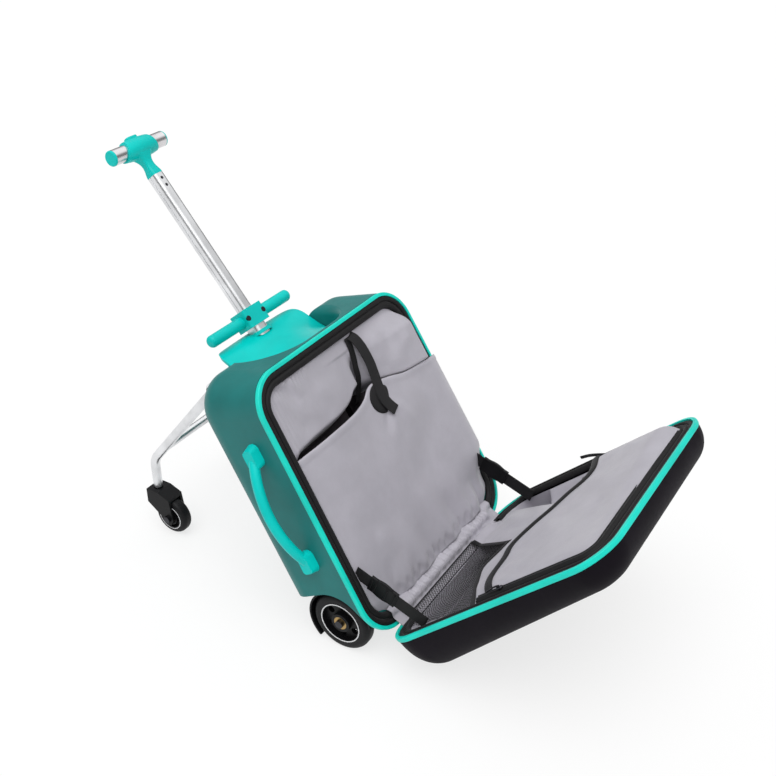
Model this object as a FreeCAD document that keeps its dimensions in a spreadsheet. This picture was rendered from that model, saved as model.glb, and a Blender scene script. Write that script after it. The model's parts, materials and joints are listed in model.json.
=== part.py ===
import FreeCAD, Part
import math
import os
import PartDesign
import Sketcher

# Ride-on suitcase: a hard case on two rear wheels and two folding caster legs, with a saddle seat,
# a telescopic steering handle and a zipped lid that opens at the bottom of the case.
# Row frame: +X to the rider's left, +Y to the rear, +Z up, millimetres.

doc = FreeCAD.newDocument("ride_on_suitcase")
sheet = doc.addObject("Spreadsheet::Sheet", "dims")

# Driving dimensions in millimetres and degrees.
SIZES = {
    # case and rim
    "case_tilt": 31.6,
    "lid_open_angle": 77.2,
    "rim_length": 433.0,
    "rim_bottom_half_width": 208.0,
    "rim_top_half_width": 196.0,
    "rim_corner_radius": 58.0,
    "hinge_gap": 2.0,
    "rim_gap": 0.4,
    "fit_gap": 0.3,
    "running_gap": 0.05,
    "cut_overrun": 20.0,
    "shell_depth": 135.0,
    "shell_rise": 31.0,
    "shell_wall": 3.0,
    "shell_edge_radius": 38.0,
    "piping_height": 8.0,
    "piping_inner_width": 4.5,
    "piping_overhang": 1.5,
    "piping_round": 2.2,
    "tape_drop": 4.0,
    "tape_thickness": 2.5,
    "tape_inset": 24.0,
    "lining_thickness": 2.0,
    "luggage_depth": 70.0,
    "back_panel_thickness": 3.0,
    # pocket panel and its strap
    "panel_thickness": 2.0,
    "panel_crown_radius": 6000.0,
    "panel_crown_depth": 1.8,
    "panel_centre": 160.0,
    "panel_top_drop": 110.0,
    "panel_top_sag": 30.0,
    "divider_strap_side": -47.0,
    "divider_strap_width": 20.0,
    "divider_strap_run": 169.0,
    "divider_strap_thickness": 1.4,
    "patch_radius": 17.0,
    "patch_drop": 142.0,
    "patch_thickness": 0.8,
    # rear wheels
    "rear_wheel_radius": 50.0,
    "rear_wheel_width": 24.0,
    "rear_tyre_inner_radius": 36.0,
    "rear_tread_round": 9.0,
    "rear_wheel_side": 186.0,
    "rear_core_web": 8.0,
    "rear_core_rim": 4.0,
    "wheel_setback": 68.0,
    "wheel_rise": 40.0,
    "arch_radius": 57.0,
    "arch_side": 160.0,
    "mudguard_thickness": 3.0,
    "mudguard_wall": 4.0,
    "mudguard_reach": 38.0,
    "bearing_radius": 11.0,
    "bearing_bore_radius": 4.05,
    "bearing_width": 7.0,
    "axle_radius": 4.0,
    "hub_radius": 16.0,
    "axle_head_radius": 6.5,
    "axle_head_thickness": 4.5,
    # seat
    "recess_half_width": 101.0,
    "recess_round": 14.0,
    "recess_start": 13.0,
    "recess_corner_radius": 84.0,
    "seat_side_gap": 1.0,
    "seat_overhang": 18.0,
    "seat_drop": 4.0,
    "seat_rise": 44.0,
    "seat_crown": 31.5,
    "seat_thickness": 7.0,
    "seat_front_radius": 32.0,
    "skirt_half_width": 97.0,
    "skirt_cover": 35.0,
    "skirt_overhang": 14.5,
    "skirt_drop": 26.0,
    "seat_collar_height": 6.0,
    "seat_collar_wall": 5.0,
    # steering handle
    "handle_tilt": 39.9,
    "bar_standoff": 4.3,
    "bar_lift": 61.6,
    "grip_reach": 316.8,
    "outer_tube_width": 28.0,
    "outer_tube_corner": 8.0,
    "outer_tube_wall": 1.6,
    "outer_tube_top": 10.0,
    "outer_tube_bottom": 330.0,
    "inner_tube_width": 22.0,
    "inner_tube_corner": 6.0,
    "inner_tube_wall": 1.5,
    "inner_tube_bottom": 85.0,
    "tube_groove_width": 3.0,
    "tube_groove_depth": 0.8,
    "bush_length": 50.0,
    "spine_width": 56.0,
    "spine_depth": 42.0,
    "spine_corner": 12.0,
    "spine_low": 250.0,
    "spine_high": 20.0,
    "foot_width": 40.0,
    "foot_low": 140.0,
    "foot_height": 36.0,
    # child bar
    "bar_length": 199.0,
    "bar_radius": 10.0,
    "bar_end_round": 7.0,
    "block_width": 46.0,
    "block_height": 31.0,
    "block_depth": 36.0,
    "block_round": 4.0,
    "screw_radius": 2.5,
    "screw_head_radius": 4.5,
    "screw_head_height": 2.5,
    "bar_screw_side": 18.5,
    "bar_screw_length": 12.0,
    # grip
    "grip_length": 117.0,
    "grip_radius": 12.5,
    "grip_wall": 2.0,
    "grip_sleeve_start": 14.0,
    "cap_thickness": 3.5,
    "cap_round": 2.5,
    "cap_plug_length": 8.0,
    "barrel_half_length": 35.0,
    "barrel_top_half_length": 23.0,
    "barrel_end_radius": 14.6,
    "barrel_middle_radius": 17.5,
    "neck_length": 50.0,
    "neck_waist": 16.5,
    "neck_flare_width": 42.0,
    "neck_flare_depth": 29.0,
    "tang_length": 42.0,
    "button_length": 23.0,
    "button_width": 13.0,
    "button_corner": 5.0,
    "button_height": 12.0,
    "button_top": 20.5,
    "button_round": 2.0,
    "button_gap": 0.4,
    "spring_radius": 4.5,
    "spring_wall": 1.0,
    "spring_length": 8.0,
    "grip_screw_drop": 9.0,
    "grip_screw_step": 13.0,
    "grip_screw_radius": 2.7,
    "grip_screw_length": 9.0,
    # caster legs
    "leg_side": 113.0,
    "leg_radius": 8.0,
    "leg_bore_radius": 6.0,
    "leg_pivot_drop": 5.0,
    "leg_pivot_standoff": 26.0,
    "leg_bend_forward": 438.0,
    "leg_bend_height": 139.5,
    "leg_bend_radius": 40.0,
    "leg_foot_height": 84.0,
    "eye_radius": 12.0,
    "eye_width": 18.0,
    "shaft_radius": 5.0,
    "shaft_half_length": 124.0,
    "shaft_head_radius": 8.0,
    "shaft_head_thickness": 2.5,
    "bracket_side": 93.0,
    "bracket_width": 18.0,
    "bracket_low_drop": 43.0,
    "bracket_high_drop": 1.0,
    "bracket_boss": 14.0,
    "crossbar_radius": 7.0,
    "stem_bush_length": 38.0,
    # casters
    "caster_wheel_radius": 33.0,
    "caster_wheel_width": 22.0,
    "caster_tyre_inner_radius": 23.0,
    "caster_tread_round": 8.0,
    "caster_hub_radius": 14.5,
    "caster_core_web": 7.0,
    "caster_core_rim": 3.0,
    "caster_trail": 30.0,
    "fork_top": 82.0,
    "fork_arm": 4.5,
    "fork_wheel_gap": 1.5,
    "fork_tread_gap": 3.0,
    "fork_arm_round": 12.0,
    "fork_crown_reach": 12.5,
    "fork_hood_reach": 6.0,
    "fork_hood_rise": 27.0,
    "stem_radius": 4.0,
    "stem_length": 36.0,
    "pocket_half_width": 42.0,
    "pocket_low": 58.0,
    "pocket_high": 152.0,
    "pocket_depth": 25.0,
    "pocket_corner": 14.0,
    # carry handle
    "carry_low": 155.0,
    "carry_high_drop": 100.0,
    "carry_setback": 50.0,
    "carry_radius": 8.0,
    "carry_rise": 26.0,
    "carry_foot_rise": 6.0,
    "carry_end_length": 37.0,
    "carry_end_width": 23.0,
    "carry_end_height": 15.5,
    "carry_end_corner": 10.0,
    "carry_end_slope": 5.0,
    # lid
    "lid_hinge_depth": 78.0,
    "lid_far_depth": 50.0,
    "lid_edge": 38.0,
    "lid_hinge_edge": 56.0,
    "lid_wall": 3.0,
    "pocket_inset": 9.5,
    "net_thickness": 1.2,
    "net_pitch": 9.5,
    "net_thread": 2.2,
    "net_margin": 5.0,
    "net_left_reach": 165.0,
    "net_right_reach": 58.0,
    "net_start": 16.0,
    "net_end": 112.0,
    "slip_pocket_right": 165.0,
    "slip_pocket_gap": 2.0,
    "slip_pocket_start": 16.0,
    "slip_pocket_end": 190.0,
    "zip_pocket_start": 194.0,
    "lid_pocket_thickness": 2.5,
    # side straps and hinge roll
    "strap_side": 177.5,
    "strap_thickness": 1.6,
    "strap_width": 24.0,
    "strap_shell_place": 112.0,
    "strap_lid_place": 78.0,
    "strap_seat": 4.0,
    "buckle_length": 48.0,
    "buckle_width": 29.0,
    "buckle_thickness": 5.4,
    "roll_radius": 6.5,
    "roll_half_length": 150.0,
}

# Sizes worked out in the sheet from the driving ones.
FORMULAS = {
    "rear_half_width": "rear_wheel_width / 2",
    "rear_web_half": "rear_core_web / 2",
    "rear_rim_radius": "rear_tyre_inner_radius - rear_core_rim",
    "rear_hub_inner": "rear_half_width - bearing_width",
    "caster_half_width": "caster_wheel_width / 2",
    "caster_web_half": "caster_core_web / 2",
    "caster_rim_radius": "caster_tyre_inner_radius - caster_core_rim",
    "caster_hub_inner": "caster_half_width - bearing_width",
    "cap_inner_radius": "grip_radius - grip_wall",
    "cap_start": "grip_length / 2 - cap_thickness",
    "cap_end": "grip_length / 2",
    "cap_plug_start": "cap_start - cap_plug_length",
    "rear_axle_start": "arch_side - shell_wall",
    "rear_axle_shoulder": "rear_wheel_side + rear_half_width + running_gap",
    "rear_axle_end": "rear_axle_shoulder + axle_head_thickness",
    "fork_half_gap": "caster_half_width + fork_wheel_gap",
    "fork_half_width": "fork_half_gap + fork_arm",
    "caster_axle_end": "fork_half_width + axle_head_thickness",
    "fork_width": "fork_half_width * 2",
    "fork_gap_width": "fork_half_gap * 2",
    "fork_wheel_radius": "caster_wheel_radius + fork_tread_gap",
    "stem_bush_bore": "stem_radius + running_gap",
    "eye_bore_radius": "shaft_radius + running_gap",
    "panel_top": "rim_length - panel_top_drop",
    "divider_strap_low": "rim_length - divider_strap_run",
    "patch_height": "rim_length - patch_drop",
    "seat_run": "shell_depth + seat_overhang",
    "seat_low": "rim_length - seat_drop",
    "skirt_start": "shell_depth - skirt_cover",
    "skirt_end": "shell_depth + skirt_overhang",
    "bar_setback": "shell_depth + bar_standoff",
    "bar_rise": "rim_length + bar_lift",
    "leg_pivot_rise": "rim_length - leg_pivot_drop",
    "leg_pivot_setback": "shell_depth + leg_pivot_standoff",
    "bracket_low": "rim_length - bracket_low_drop",
    "bracket_high": "rim_length - bracket_high_drop",
    "carry_high": "rim_length - carry_high_drop",
}

VALUE_COLUMN = "B"
row = 0
for alias, value in SIZES.items():
    row += 1
    sheet.set("A%d" % row, alias)
    sheet.set("%s%d" % (VALUE_COLUMN, row), repr(value))
    sheet.setAlias("%s%d" % (VALUE_COLUMN, row), alias)
for alias, formula in FORMULAS.items():
    row += 1
    sheet.set("A%d" % row, alias)
    sheet.set("%s%d" % (VALUE_COLUMN, row), "=" + formula)
    sheet.setAlias("%s%d" % (VALUE_COLUMN, row), alias)
doc.recompute()


class Dimensions:
    """Reads a cell of the sheet by its alias."""

    def __getattr__(self, alias):
        return float(sheet.get(alias))


d = Dimensions()
V = FreeCAD.Vector
X_AXIS = V(1, 0, 0)
Y_AXIS = V(0, 1, 0)
Z_AXIS = V(0, 0, 1)
SIDES = (("left", 1), ("right", -1))
FULL_TURN = 360
SPOKE_COUNT = 6
TOUCH_SHARE = 1e-5

pieces = []


# Frames of the assembly.

def turn_x(degrees):
    return FreeCAD.Rotation(X_AXIS, degrees)


tilt = math.radians(d.case_tilt)
hinge_y = d.wheel_rise * math.sin(tilt) + d.wheel_setback * math.cos(tilt)
hinge_z = d.rear_wheel_radius - d.wheel_rise * math.cos(tilt) + d.wheel_setback * math.sin(tilt)
case_frame = FreeCAD.Placement(V(0, hinge_y, hinge_z), turn_x(d.case_tilt))
lid_frame = FreeCAD.Placement(V(0, hinge_y, hinge_z), turn_x(d.case_tilt - d.lid_open_angle))
handle_in_case = FreeCAD.Placement(
    V(0, -d.bar_setback, d.bar_rise), turn_x(d.handle_tilt - d.case_tilt)
)
handle_frame = case_frame.multiply(handle_in_case)
lid_in_case = case_frame.inverse().multiply(lid_frame)

# The row's origin is the bottom centre of the standing part's box.
grip_centre = handle_frame.multVec(V(0, 0, d.grip_reach))
lid_end = lid_frame.multVec(V(0, d.piping_height, d.rim_length - d.lid_edge))
lid_lean = math.radians(d.lid_open_angle - d.case_tilt)
lid_round = math.hypot(
    (d.lid_far_depth - d.piping_height) * math.cos(lid_lean), d.lid_edge * math.sin(lid_lean)
)
side_right = d.rim_bottom_half_width + d.piping_overhang
carry_mid = (d.carry_low + d.carry_high) / 2


def half_width(along):
    """Half the case's width at a distance from the hinge edge."""
    spread = d.rim_top_half_width - d.rim_bottom_half_width
    return d.rim_bottom_half_width + spread * along / d.rim_length


side_left = half_width(carry_mid) + d.carry_foot_rise + d.carry_rise + d.carry_radius
origin = V(
    (side_left - side_right) / 2,
    (lid_end.y + lid_round + grip_centre.y - d.barrel_middle_radius) / 2,
    0,
)
to_row = FreeCAD.Placement(-origin, FreeCAD.Rotation())


def in_row(frame):
    return to_row.multiply(frame)


def at(x, y, z):
    return FreeCAD.Placement(V(x, y, z), FreeCAD.Rotation())


# Helpers for solids.

def add(label, shape, frame):
    """A sub-part from a finished shape, in one of the assembly's frames."""
    piece = doc.addObject("Part::Feature", label)
    piece.Label = label
    piece.Shape = shape
    piece.Placement = in_row(frame).multiply(shape.Placement)
    pieces.append(piece)
    return piece


def keep(piece, frame):
    """A parametric object taken as a sub-part."""
    piece.Placement = in_row(frame)
    pieces.append(piece)
    return piece


def rounded_wire(corners, radii):
    """A closed outline of straight runs and corner arcs."""
    count = len(corners)
    arcs = []
    for i, corner in enumerate(corners):
        before = (corners[i - 1] - corner).normalize()
        after = (corners[(i + 1) % count] - corner).normalize()
        half = before.getAngle(after) / 2
        reach = radii[i] / math.tan(half)
        inward = (before + after).normalize()
        centre = corner + inward * (radii[i] / math.sin(half))
        arcs.append((corner + before * reach, centre - inward * radii[i], corner + after * reach))
    edges = []
    for i, (start, middle, end) in enumerate(arcs):
        edges.append(Part.Arc(start, middle, end).toShape())
        edges.append(Part.makeLine(end, arcs[(i + 1) % count][0]))
    return Part.Wire(edges)


def rounded_bar(width, depth, corner, low, high):
    """A bar along Z with a rounded rectangular section."""
    corners = [
        V(width / 2, depth / 2, low),
        V(-width / 2, depth / 2, low),
        V(-width / 2, -depth / 2, low),
        V(width / 2, -depth / 2, low),
    ]
    wire = rounded_wire(corners, [corner] * len(corners))
    return Part.Face(wire).extrude(V(0, 0, high - low))


def block(x_low, x_high, y_low, y_high, z_low, z_high):
    return Part.makeBox(x_high - x_low, y_high - y_low, z_high - z_low, V(x_low, y_low, z_low))


def rod_x(radius, x_low, x_high, y, z):
    return Part.makeCylinder(radius, x_high - x_low, V(x_low, y, z), X_AXIS)


def edges_at(shape, axis, level):
    """Edges that lie in the plane at a level of one axis."""
    touch = d.rim_length * TOUCH_SHARE
    found = []
    for edge in shape.Edges:
        box = edge.BoundBox
        ends = {"x": (box.XMin, box.XMax), "y": (box.YMin, box.YMax), "z": (box.ZMin, box.ZMax)}[axis]
        if abs(ends[0] - level) < touch and abs(ends[1] - level) < touch:
            found.append(edge)
    return found


# Helpers for parametric bodies.

def plane_of(body, role):
    return [feature for feature in body.Origin.OriginFeatures if feature.Role == role][0]


def signed(alias):
    if alias == "0":
        return 0.0
    if alias.startswith("-"):
        return -float(sheet.get(alias[1:]))
    return float(sheet.get(alias))


def bound(alias):
    return "-dims." + alias[1:] if alias.startswith("-") else "dims." + alias


def profile(body, label, corners, role="XY_Plane"):
    """A closed sketch whose corners are bound to cells of the sheet."""
    sketch = body.newObject("Sketcher::SketchObject", label)
    sketch.AttachmentSupport = [(plane_of(body, role), "")]
    sketch.MapMode = "FlatFace"
    places = [V(signed(u), signed(v), 0) for u, v in corners]
    count = len(places)
    for i in range(count):
        sketch.addGeometry(Part.LineSegment(places[i], places[(i + 1) % count]))
    for i, (u, v) in enumerate(corners):
        sketch.addConstraint(Sketcher.Constraint("Coincident", i, 2, (i + 1) % count, 1))
        for kind, alias in (("DistanceX", u), ("DistanceY", v)):
            index = sketch.addConstraint(Sketcher.Constraint(kind, i, 1, signed(alias)))
            if alias != "0":
                sketch.setExpression("Constraints[%d]" % index, bound(alias))
    return sketch


def turned(label, corners):
    """A body turned about X from a profile of (x, radius) corners."""
    body = doc.addObject("PartDesign::Body", label)
    sketch = profile(body, label + "_profile", corners)
    revolution = body.newObject("PartDesign::Revolution", label + "_turn")
    revolution.Profile = sketch
    revolution.ReferenceAxis = (sketch, ["H_Axis"])
    revolution.Angle = FULL_TURN
    doc.recompute()
    return body


def round_edges(body, label, radius_alias, chosen):
    """A fillet on the edges of the body's tip that the test chooses."""
    base = body.Tip
    names = ["Edge%d" % (i + 1) for i, edge in enumerate(base.Shape.Edges) if chosen(edge)]
    fillet = body.newObject("PartDesign::Fillet", label)
    fillet.Base = (base, names)
    fillet.setExpression("Radius", "dims." + radius_alias)
    doc.recompute()
    return fillet


def is_round_edge(edge, radius):
    curve = edge.Curve
    touch = d.rim_length * TOUCH_SHARE
    return isinstance(curve, Part.Circle) and abs(curve.Radius - radius) < touch


# Rim outlines of the case and the lid. Local frame of both: x across, y out of the rim, z along it.

def rim_wire(inset, hinge_inset, level, shift):
    """Rim outline drawn in by an inset, at a level that may change along the rim."""
    low = d.hinge_gap + hinge_inset
    high = d.rim_length - inset
    corners = []
    for along, sign in ((low, 1), (high, 1), (high, -1), (low, -1)):
        corners.append(V(sign * (half_width(along) - inset), level(along), along + shift))
    return rounded_wire(corners, [d.rim_corner_radius - inset] * len(corners))


def flat(level):
    return lambda along: level


def rise_at(level):
    """How far the slanted case has climbed at a depth behind the rim."""
    return -level * d.shell_rise / d.shell_depth


def case_prism(inset, start, end):
    """The case's slanted prism between two depths."""
    face = Part.Face(rim_wire(inset, inset, flat(start), rise_at(start)))
    return face.extrude(V(0, end - start, rise_at(end) - rise_at(start)))


def rim_ring(outer_inset, inner_inset, start, end):
    """A straight ring that follows the rim."""
    outer = Part.Face(rim_wire(outer_inset, outer_inset, flat(start), 0))
    inner = Part.Face(rim_wire(inner_inset, inner_inset, flat(start), 0))
    return outer.extrude(V(0, end - start, 0)).cut(inner.extrude(V(0, end - start, 0)))


piping_end = d.rim_gap + d.piping_height
tape_top = d.rim_gap + d.tape_drop
tape_end = tape_top + d.tape_thickness
under_tape = tape_end + d.fit_gap
lining_inset = d.piping_inner_width + d.fit_gap + rise_at(-piping_end)
panel_front = d.luggage_depth + d.lining_thickness + d.fit_gap
panel_back = panel_front + d.back_panel_thickness


def piping():
    """Raised bead around the rim, rounded on its outside."""
    outer = Part.Face(rim_wire(-d.piping_overhang, -d.piping_overhang, flat(-d.rim_gap), 0))
    bead = outer.extrude(V(0, -d.piping_height, 0))
    bead = bead.makeFillet(d.piping_round, edges_at(bead, "y", -d.rim_gap) + edges_at(bead, "y", -piping_end))
    inner = Part.Face(rim_wire(d.piping_inner_width, d.piping_inner_width, flat(d.cut_overrun), 0))
    return bead.cut(inner.extrude(V(0, -2 * d.cut_overrun - piping_end, 0)))


# Seat recess, seat and the volumes that are cut out of the case.

SEAT_RUN_SHARES = (0.04, 0.39, 0.59, 0.79, 1.0)
SEAT_RISE_SHARES = (0.0, 0.22, 0.43, 0.78, 1.0)
SEAT_DROP_SHARES = (0.95, 1.0, 0.95, 0.35, 0.04)
RECESS_ROUND_SHARES = (0.0, 0.33, 0.66, 0.94)


def seat_sections():
    """Depth, crown height and side drop of each section of the seat."""
    sections = []
    for run, rise, drop in zip(SEAT_RUN_SHARES, SEAT_RISE_SHARES, SEAT_DROP_SHARES):
        sections.append((-d.seat_run * run, d.seat_low + d.seat_rise * rise, d.seat_crown * drop))
    return sections


def recess_outline(half, level):
    """Plan of the seat recess, round towards the rim, on the slanted top of the case."""
    back = -d.shell_depth - 2 * d.cut_overrun
    front = -d.recess_start
    corners = []
    for x, y in ((half, front), (half, back), (-half, back), (-half, front)):
        corners.append(V(x, y, level + rise_at(y)))
    radii = [d.recess_corner_radius, d.recess_round, d.recess_round, d.recess_corner_radius]
    return rounded_wire(corners, radii)


def seat_recess(grow):
    """The hollow between the cheeks, down to the seat's lower edges."""
    low = d.rim_length - 2 * d.recess_corner_radius
    well = Part.Face(recess_outline(d.recess_half_width + grow, low)).extrude(
        V(0, 0, 2 * d.recess_corner_radius + d.shell_rise + d.cut_overrun)
    )
    floor = []
    for depth, crown, drop in seat_sections():
        floor.append(V(-d.rim_length, depth, crown - drop - d.seat_thickness - d.fit_gap - grow))
    floor[0].y = d.cut_overrun
    last = floor[-1]
    floor.append(V(last.x, -d.shell_depth - 3 * d.cut_overrun, last.z))
    sky = d.rim_length + d.shell_depth + d.cut_overrun
    floor.append(V(last.x, floor[-1].y, sky))
    floor.append(V(last.x, floor[0].y, sky))
    above = Part.Face(Part.makePolygon(floor + [floor[0]])).extrude(V(2 * d.rim_length, 0, 0))
    return well.common(above)


def recess_flare(grow):
    """Rounds the cheeks' inner top edges."""
    wires = []
    for share in RECESS_ROUND_SHARES:
        angle = share * math.pi / 2
        half = d.recess_half_width + d.recess_round * (1 - math.cos(angle)) + grow
        level = d.rim_length - d.recess_round * (1 - math.sin(angle)) - grow
        wires.append(recess_outline(half, level))
    flare = Part.makeLoft(wires, True, False)
    cap = Part.Face(wires[-1]).extrude(V(0, 0, d.cut_overrun + grow))
    return flare.fuse(cap)


def saddle(top_shift, bottom_shift, grow):
    """Curved plate of the seat between the cheeks, with both faces shifted and its sides grown as asked."""
    seat_half = d.recess_half_width - d.seat_side_gap
    half = seat_half + grow
    wires = []
    for depth, crown, side_drop in seat_sections():
        drop = side_drop * (half / seat_half) ** 2
        top = crown + top_shift
        low = crown - d.seat_thickness + bottom_shift
        wires.append(Part.Wire([
            Part.Arc(V(-half, depth, top - drop), V(0, depth, top), V(half, depth, top - drop)).toShape(),
            Part.makeLine(V(half, depth, top - drop), V(half, depth, low - drop)),
            Part.Arc(V(half, depth, low - drop), V(0, depth, low), V(-half, depth, low - drop)).toShape(),
            Part.makeLine(V(-half, depth, low - drop), V(-half, depth, top - drop)),
        ]))
    return Part.makeLoft(wires, True, False)


def wheel_notch(sign, grow):
    """Room for one rear wheel, open to the back and below."""
    inner = d.arch_side - grow
    outer = d.rim_bottom_half_width + d.cut_overrun
    low, high = sorted((sign * inner, sign * outer))
    arch = rod_x(d.arch_radius + grow, low, high, -d.wheel_setback, d.wheel_rise)
    back = block(
        low, high, -d.shell_depth - d.cut_overrun, -d.wheel_setback,
        -d.rear_wheel_radius, d.wheel_rise + d.arch_radius + grow,
    )
    return arch.fuse(back)


def caster_pocket(sign, grow):
    """Hollow in the back of the case for a folded caster."""
    half = d.pocket_half_width + grow
    middle = sign * d.leg_side
    start = -d.shell_depth - d.cut_overrun
    corners = [
        V(middle + half, start, d.pocket_low - grow),
        V(middle + half, start, d.pocket_high + grow),
        V(middle - half, start, d.pocket_high + grow),
        V(middle - half, start, d.pocket_low - grow),
    ]
    wire = rounded_wire(corners, [d.pocket_corner] * len(corners))
    return Part.Face(wire).extrude(V(0, d.cut_overrun + d.pocket_depth + grow, 0))


def tube_room(gap, low, high):
    """Outer handle tube's envelope, drawn in the case's frame."""
    width = d.outer_tube_width + 2 * gap
    bar = rounded_bar(width, width, d.outer_tube_corner + gap, low, high)
    bar.Placement = handle_in_case
    return bar


def case_body(grow):
    """Outside of the case behind its rim, before anything is cut out of it."""
    back = -d.shell_depth - grow
    body = case_prism(-grow, -piping_end, back)
    return body.makeFillet(d.shell_edge_radius, edges_at(body, "y", back))


def spine(grow):
    """Housing of the handle tube on the back of the case."""
    bar = rounded_bar(
        d.spine_width + 2 * grow, d.spine_depth + 2 * grow, d.spine_corner + grow, -d.spine_low, -d.spine_high
    )
    bar.Placement = handle_in_case
    return bar


def shell():
    back = -d.shell_depth + d.shell_wall
    inner = case_prism(d.shell_wall, d.cut_overrun, back)
    inner = inner.makeFillet(d.shell_edge_radius - d.shell_wall, edges_at(inner, "y", back))
    inner = inner.cut(seat_recess(d.shell_wall)).cut(recess_flare(d.shell_wall))
    solid = case_body(0).fuse(spine(0)).cut(seat_recess(0)).cut(recess_flare(0))
    solid = solid.cut(saddle(-d.fit_gap, -d.fit_gap, d.fit_gap))
    for side, sign in SIDES:
        inner = inner.cut(wheel_notch(sign, d.shell_wall))
        inner = inner.cut(caster_pocket(sign, d.shell_wall))
        solid = solid.cut(wheel_notch(sign, 0)).cut(caster_pocket(sign, 0))
    solid = solid.cut(inner)
    solid = solid.cut(tube_room(d.fit_gap, -d.outer_tube_bottom, d.outer_tube_top))
    for side, sign in SIDES:
        low, high = sorted((sign * d.rear_axle_start, sign * d.rear_axle_end))
        solid = solid.cut(rod_x(d.axle_radius, low, high, -d.wheel_setback, d.wheel_rise))
    return solid.removeSplitter()


def trimmed(shape, grow):
    """Cuts an inner panel back from the seat recess and the wheel arches."""
    shape = shape.cut(seat_recess(grow)).cut(recess_flare(grow))
    for side, sign in SIDES:
        shape = shape.cut(wheel_notch(sign, grow))
    return shape


def shell_lining():
    outer = case_prism(lining_inset, -under_tape, -d.luggage_depth - d.lining_thickness)
    inner = case_prism(lining_inset + d.lining_thickness, d.cut_overrun, -d.luggage_depth)
    return trimmed(outer.cut(inner), d.shell_wall + d.fit_gap)


def inner_back_panel():
    plate = case_prism(d.shell_wall + d.fit_gap, -panel_front, -panel_back)
    return trimmed(plate, d.shell_wall + d.fit_gap)


def pocket_panel():
    """Fabric panel over the lower part of the case, slightly crowned."""
    inset = d.tape_inset + d.fit_gap
    low = d.hinge_gap + inset
    side = d.panel_top - d.panel_top_sag
    far = -piping_end - d.cut_overrun
    left = [V(half_width(s) - inset, far, s) for s in (low, side)]
    right = [V(-p.x, far, p.z) for p in left]
    lower = rounded_wire(
        [left[0], left[1], right[1], right[0]], [d.rim_corner_radius - inset] * len(left + right)
    )
    plan = Part.Face(lower).extrude(V(0, 2 * d.cut_overrun + piping_end, 0))
    edge = d.panel_top - d.panel_top_sag - d.rim_corner_radius
    upper_wire = Part.Wire([
        Part.makeLine(V(half_width(edge) - inset, far, edge), V(half_width(side) - inset, far, side)),
        Part.Arc(
            V(half_width(side) - inset, far, side), V(0, far, d.panel_top),
            V(inset - half_width(side), far, side)
        ).toShape(),
        Part.makeLine(V(inset - half_width(side), far, side), V(inset - half_width(edge), far, edge)),
        Part.makeLine(V(inset - half_width(edge), far, edge), V(half_width(edge) - inset, far, edge)),
    ])
    plan = plan.fuse(Part.Face(upper_wire).extrude(V(0, 2 * d.cut_overrun + piping_end, 0)))
    centre = V(0, -d.panel_crown_depth - d.panel_crown_radius, d.panel_centre)
    crown = Part.makeSphere(d.panel_crown_radius, centre)
    crown = crown.cut(Part.makeSphere(d.panel_crown_radius - d.panel_thickness, centre))
    return plan.common(crown).removeSplitter()


def divider_strap():
    """Elastic strap from the top zip tape, with its round patch."""
    half = d.divider_strap_width / 2
    high = d.rim_length - d.tape_inset - d.fit_gap
    top = -d.rim_gap
    low = top - d.divider_strap_thickness
    strap = block(
        d.divider_strap_side - half, d.divider_strap_side + half, low, top, d.divider_strap_low, high
    )
    patch = Part.makeCylinder(
        d.patch_radius, d.patch_thickness,
        V(d.divider_strap_side, low - d.patch_thickness, d.patch_height), Y_AXIS
    )
    return strap.fuse(patch).removeSplitter()


def seat_skirt():
    """Fills the wedge between the seat's front overhang and the case's rounded edge."""
    wide = d.skirt_half_width
    start, end = -d.skirt_start, -d.skirt_end
    ground = d.rim_length / 2
    corners = [V(wide, start, ground), V(-wide, start, ground), V(-wide, end, ground), V(wide, end, ground)]
    radii = [d.piping_height, d.piping_height, d.seat_front_radius, d.seat_front_radius]
    plan = Part.Face(rounded_wire(corners, radii)).extrude(V(0, 0, d.rim_length))
    wedge = saddle(-d.seat_thickness / 2, -d.skirt_drop, d.seat_side_gap).common(plan)
    return wedge.cut(case_body(d.fit_gap)).cut(spine(d.fit_gap))


def seat():
    half = d.recess_half_width - d.seat_side_gap
    ground = d.rim_length / 2
    front = -d.recess_start - d.seat_side_gap
    corners = [
        V(half, front, ground), V(half, -d.seat_run, ground),
        V(-half, -d.seat_run, ground), V(-half, front, ground),
    ]
    radii = [d.recess_corner_radius, d.seat_front_radius, d.seat_front_radius, d.recess_corner_radius]
    plan = Part.Face(rounded_wire(corners, radii)).extrude(V(0, 0, d.rim_length))
    collar = tube_room(d.fit_gap + d.seat_collar_wall, -d.block_height, d.seat_collar_height - d.block_height)
    solid = saddle(0, 0, d.seat_side_gap).common(plan).fuse(collar).fuse(seat_skirt())
    return solid.cut(tube_room(d.fit_gap, -d.outer_tube_bottom, d.outer_tube_top)).removeSplitter()


# Handle pieces, in the handle's frame: z along the tube, the child bar's axis at zero.

def tube_section(width, corner, low, high):
    return rounded_bar(width, width, corner, low, high)


def outer_tube():
    outer = tube_section(d.outer_tube_width, d.outer_tube_corner, -d.outer_tube_bottom, d.outer_tube_top)
    bore = d.outer_tube_width - 2 * d.outer_tube_wall
    return outer.cut(
        tube_section(
            bore, d.outer_tube_corner - d.outer_tube_wall,
            -d.outer_tube_bottom - d.cut_overrun, d.outer_tube_top + d.cut_overrun,
        )
    )


def tube_bush():
    low = d.outer_tube_top - d.bush_length
    outer = tube_section(
        d.outer_tube_width - 2 * d.outer_tube_wall, d.outer_tube_corner - d.outer_tube_wall,
        low, d.outer_tube_top
    )
    bore = d.inner_tube_width + 2 * d.fit_gap
    return outer.cut(
        tube_section(
            bore, d.inner_tube_corner + d.fit_gap, low - d.cut_overrun, d.outer_tube_top + d.cut_overrun
        )
    )


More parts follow.
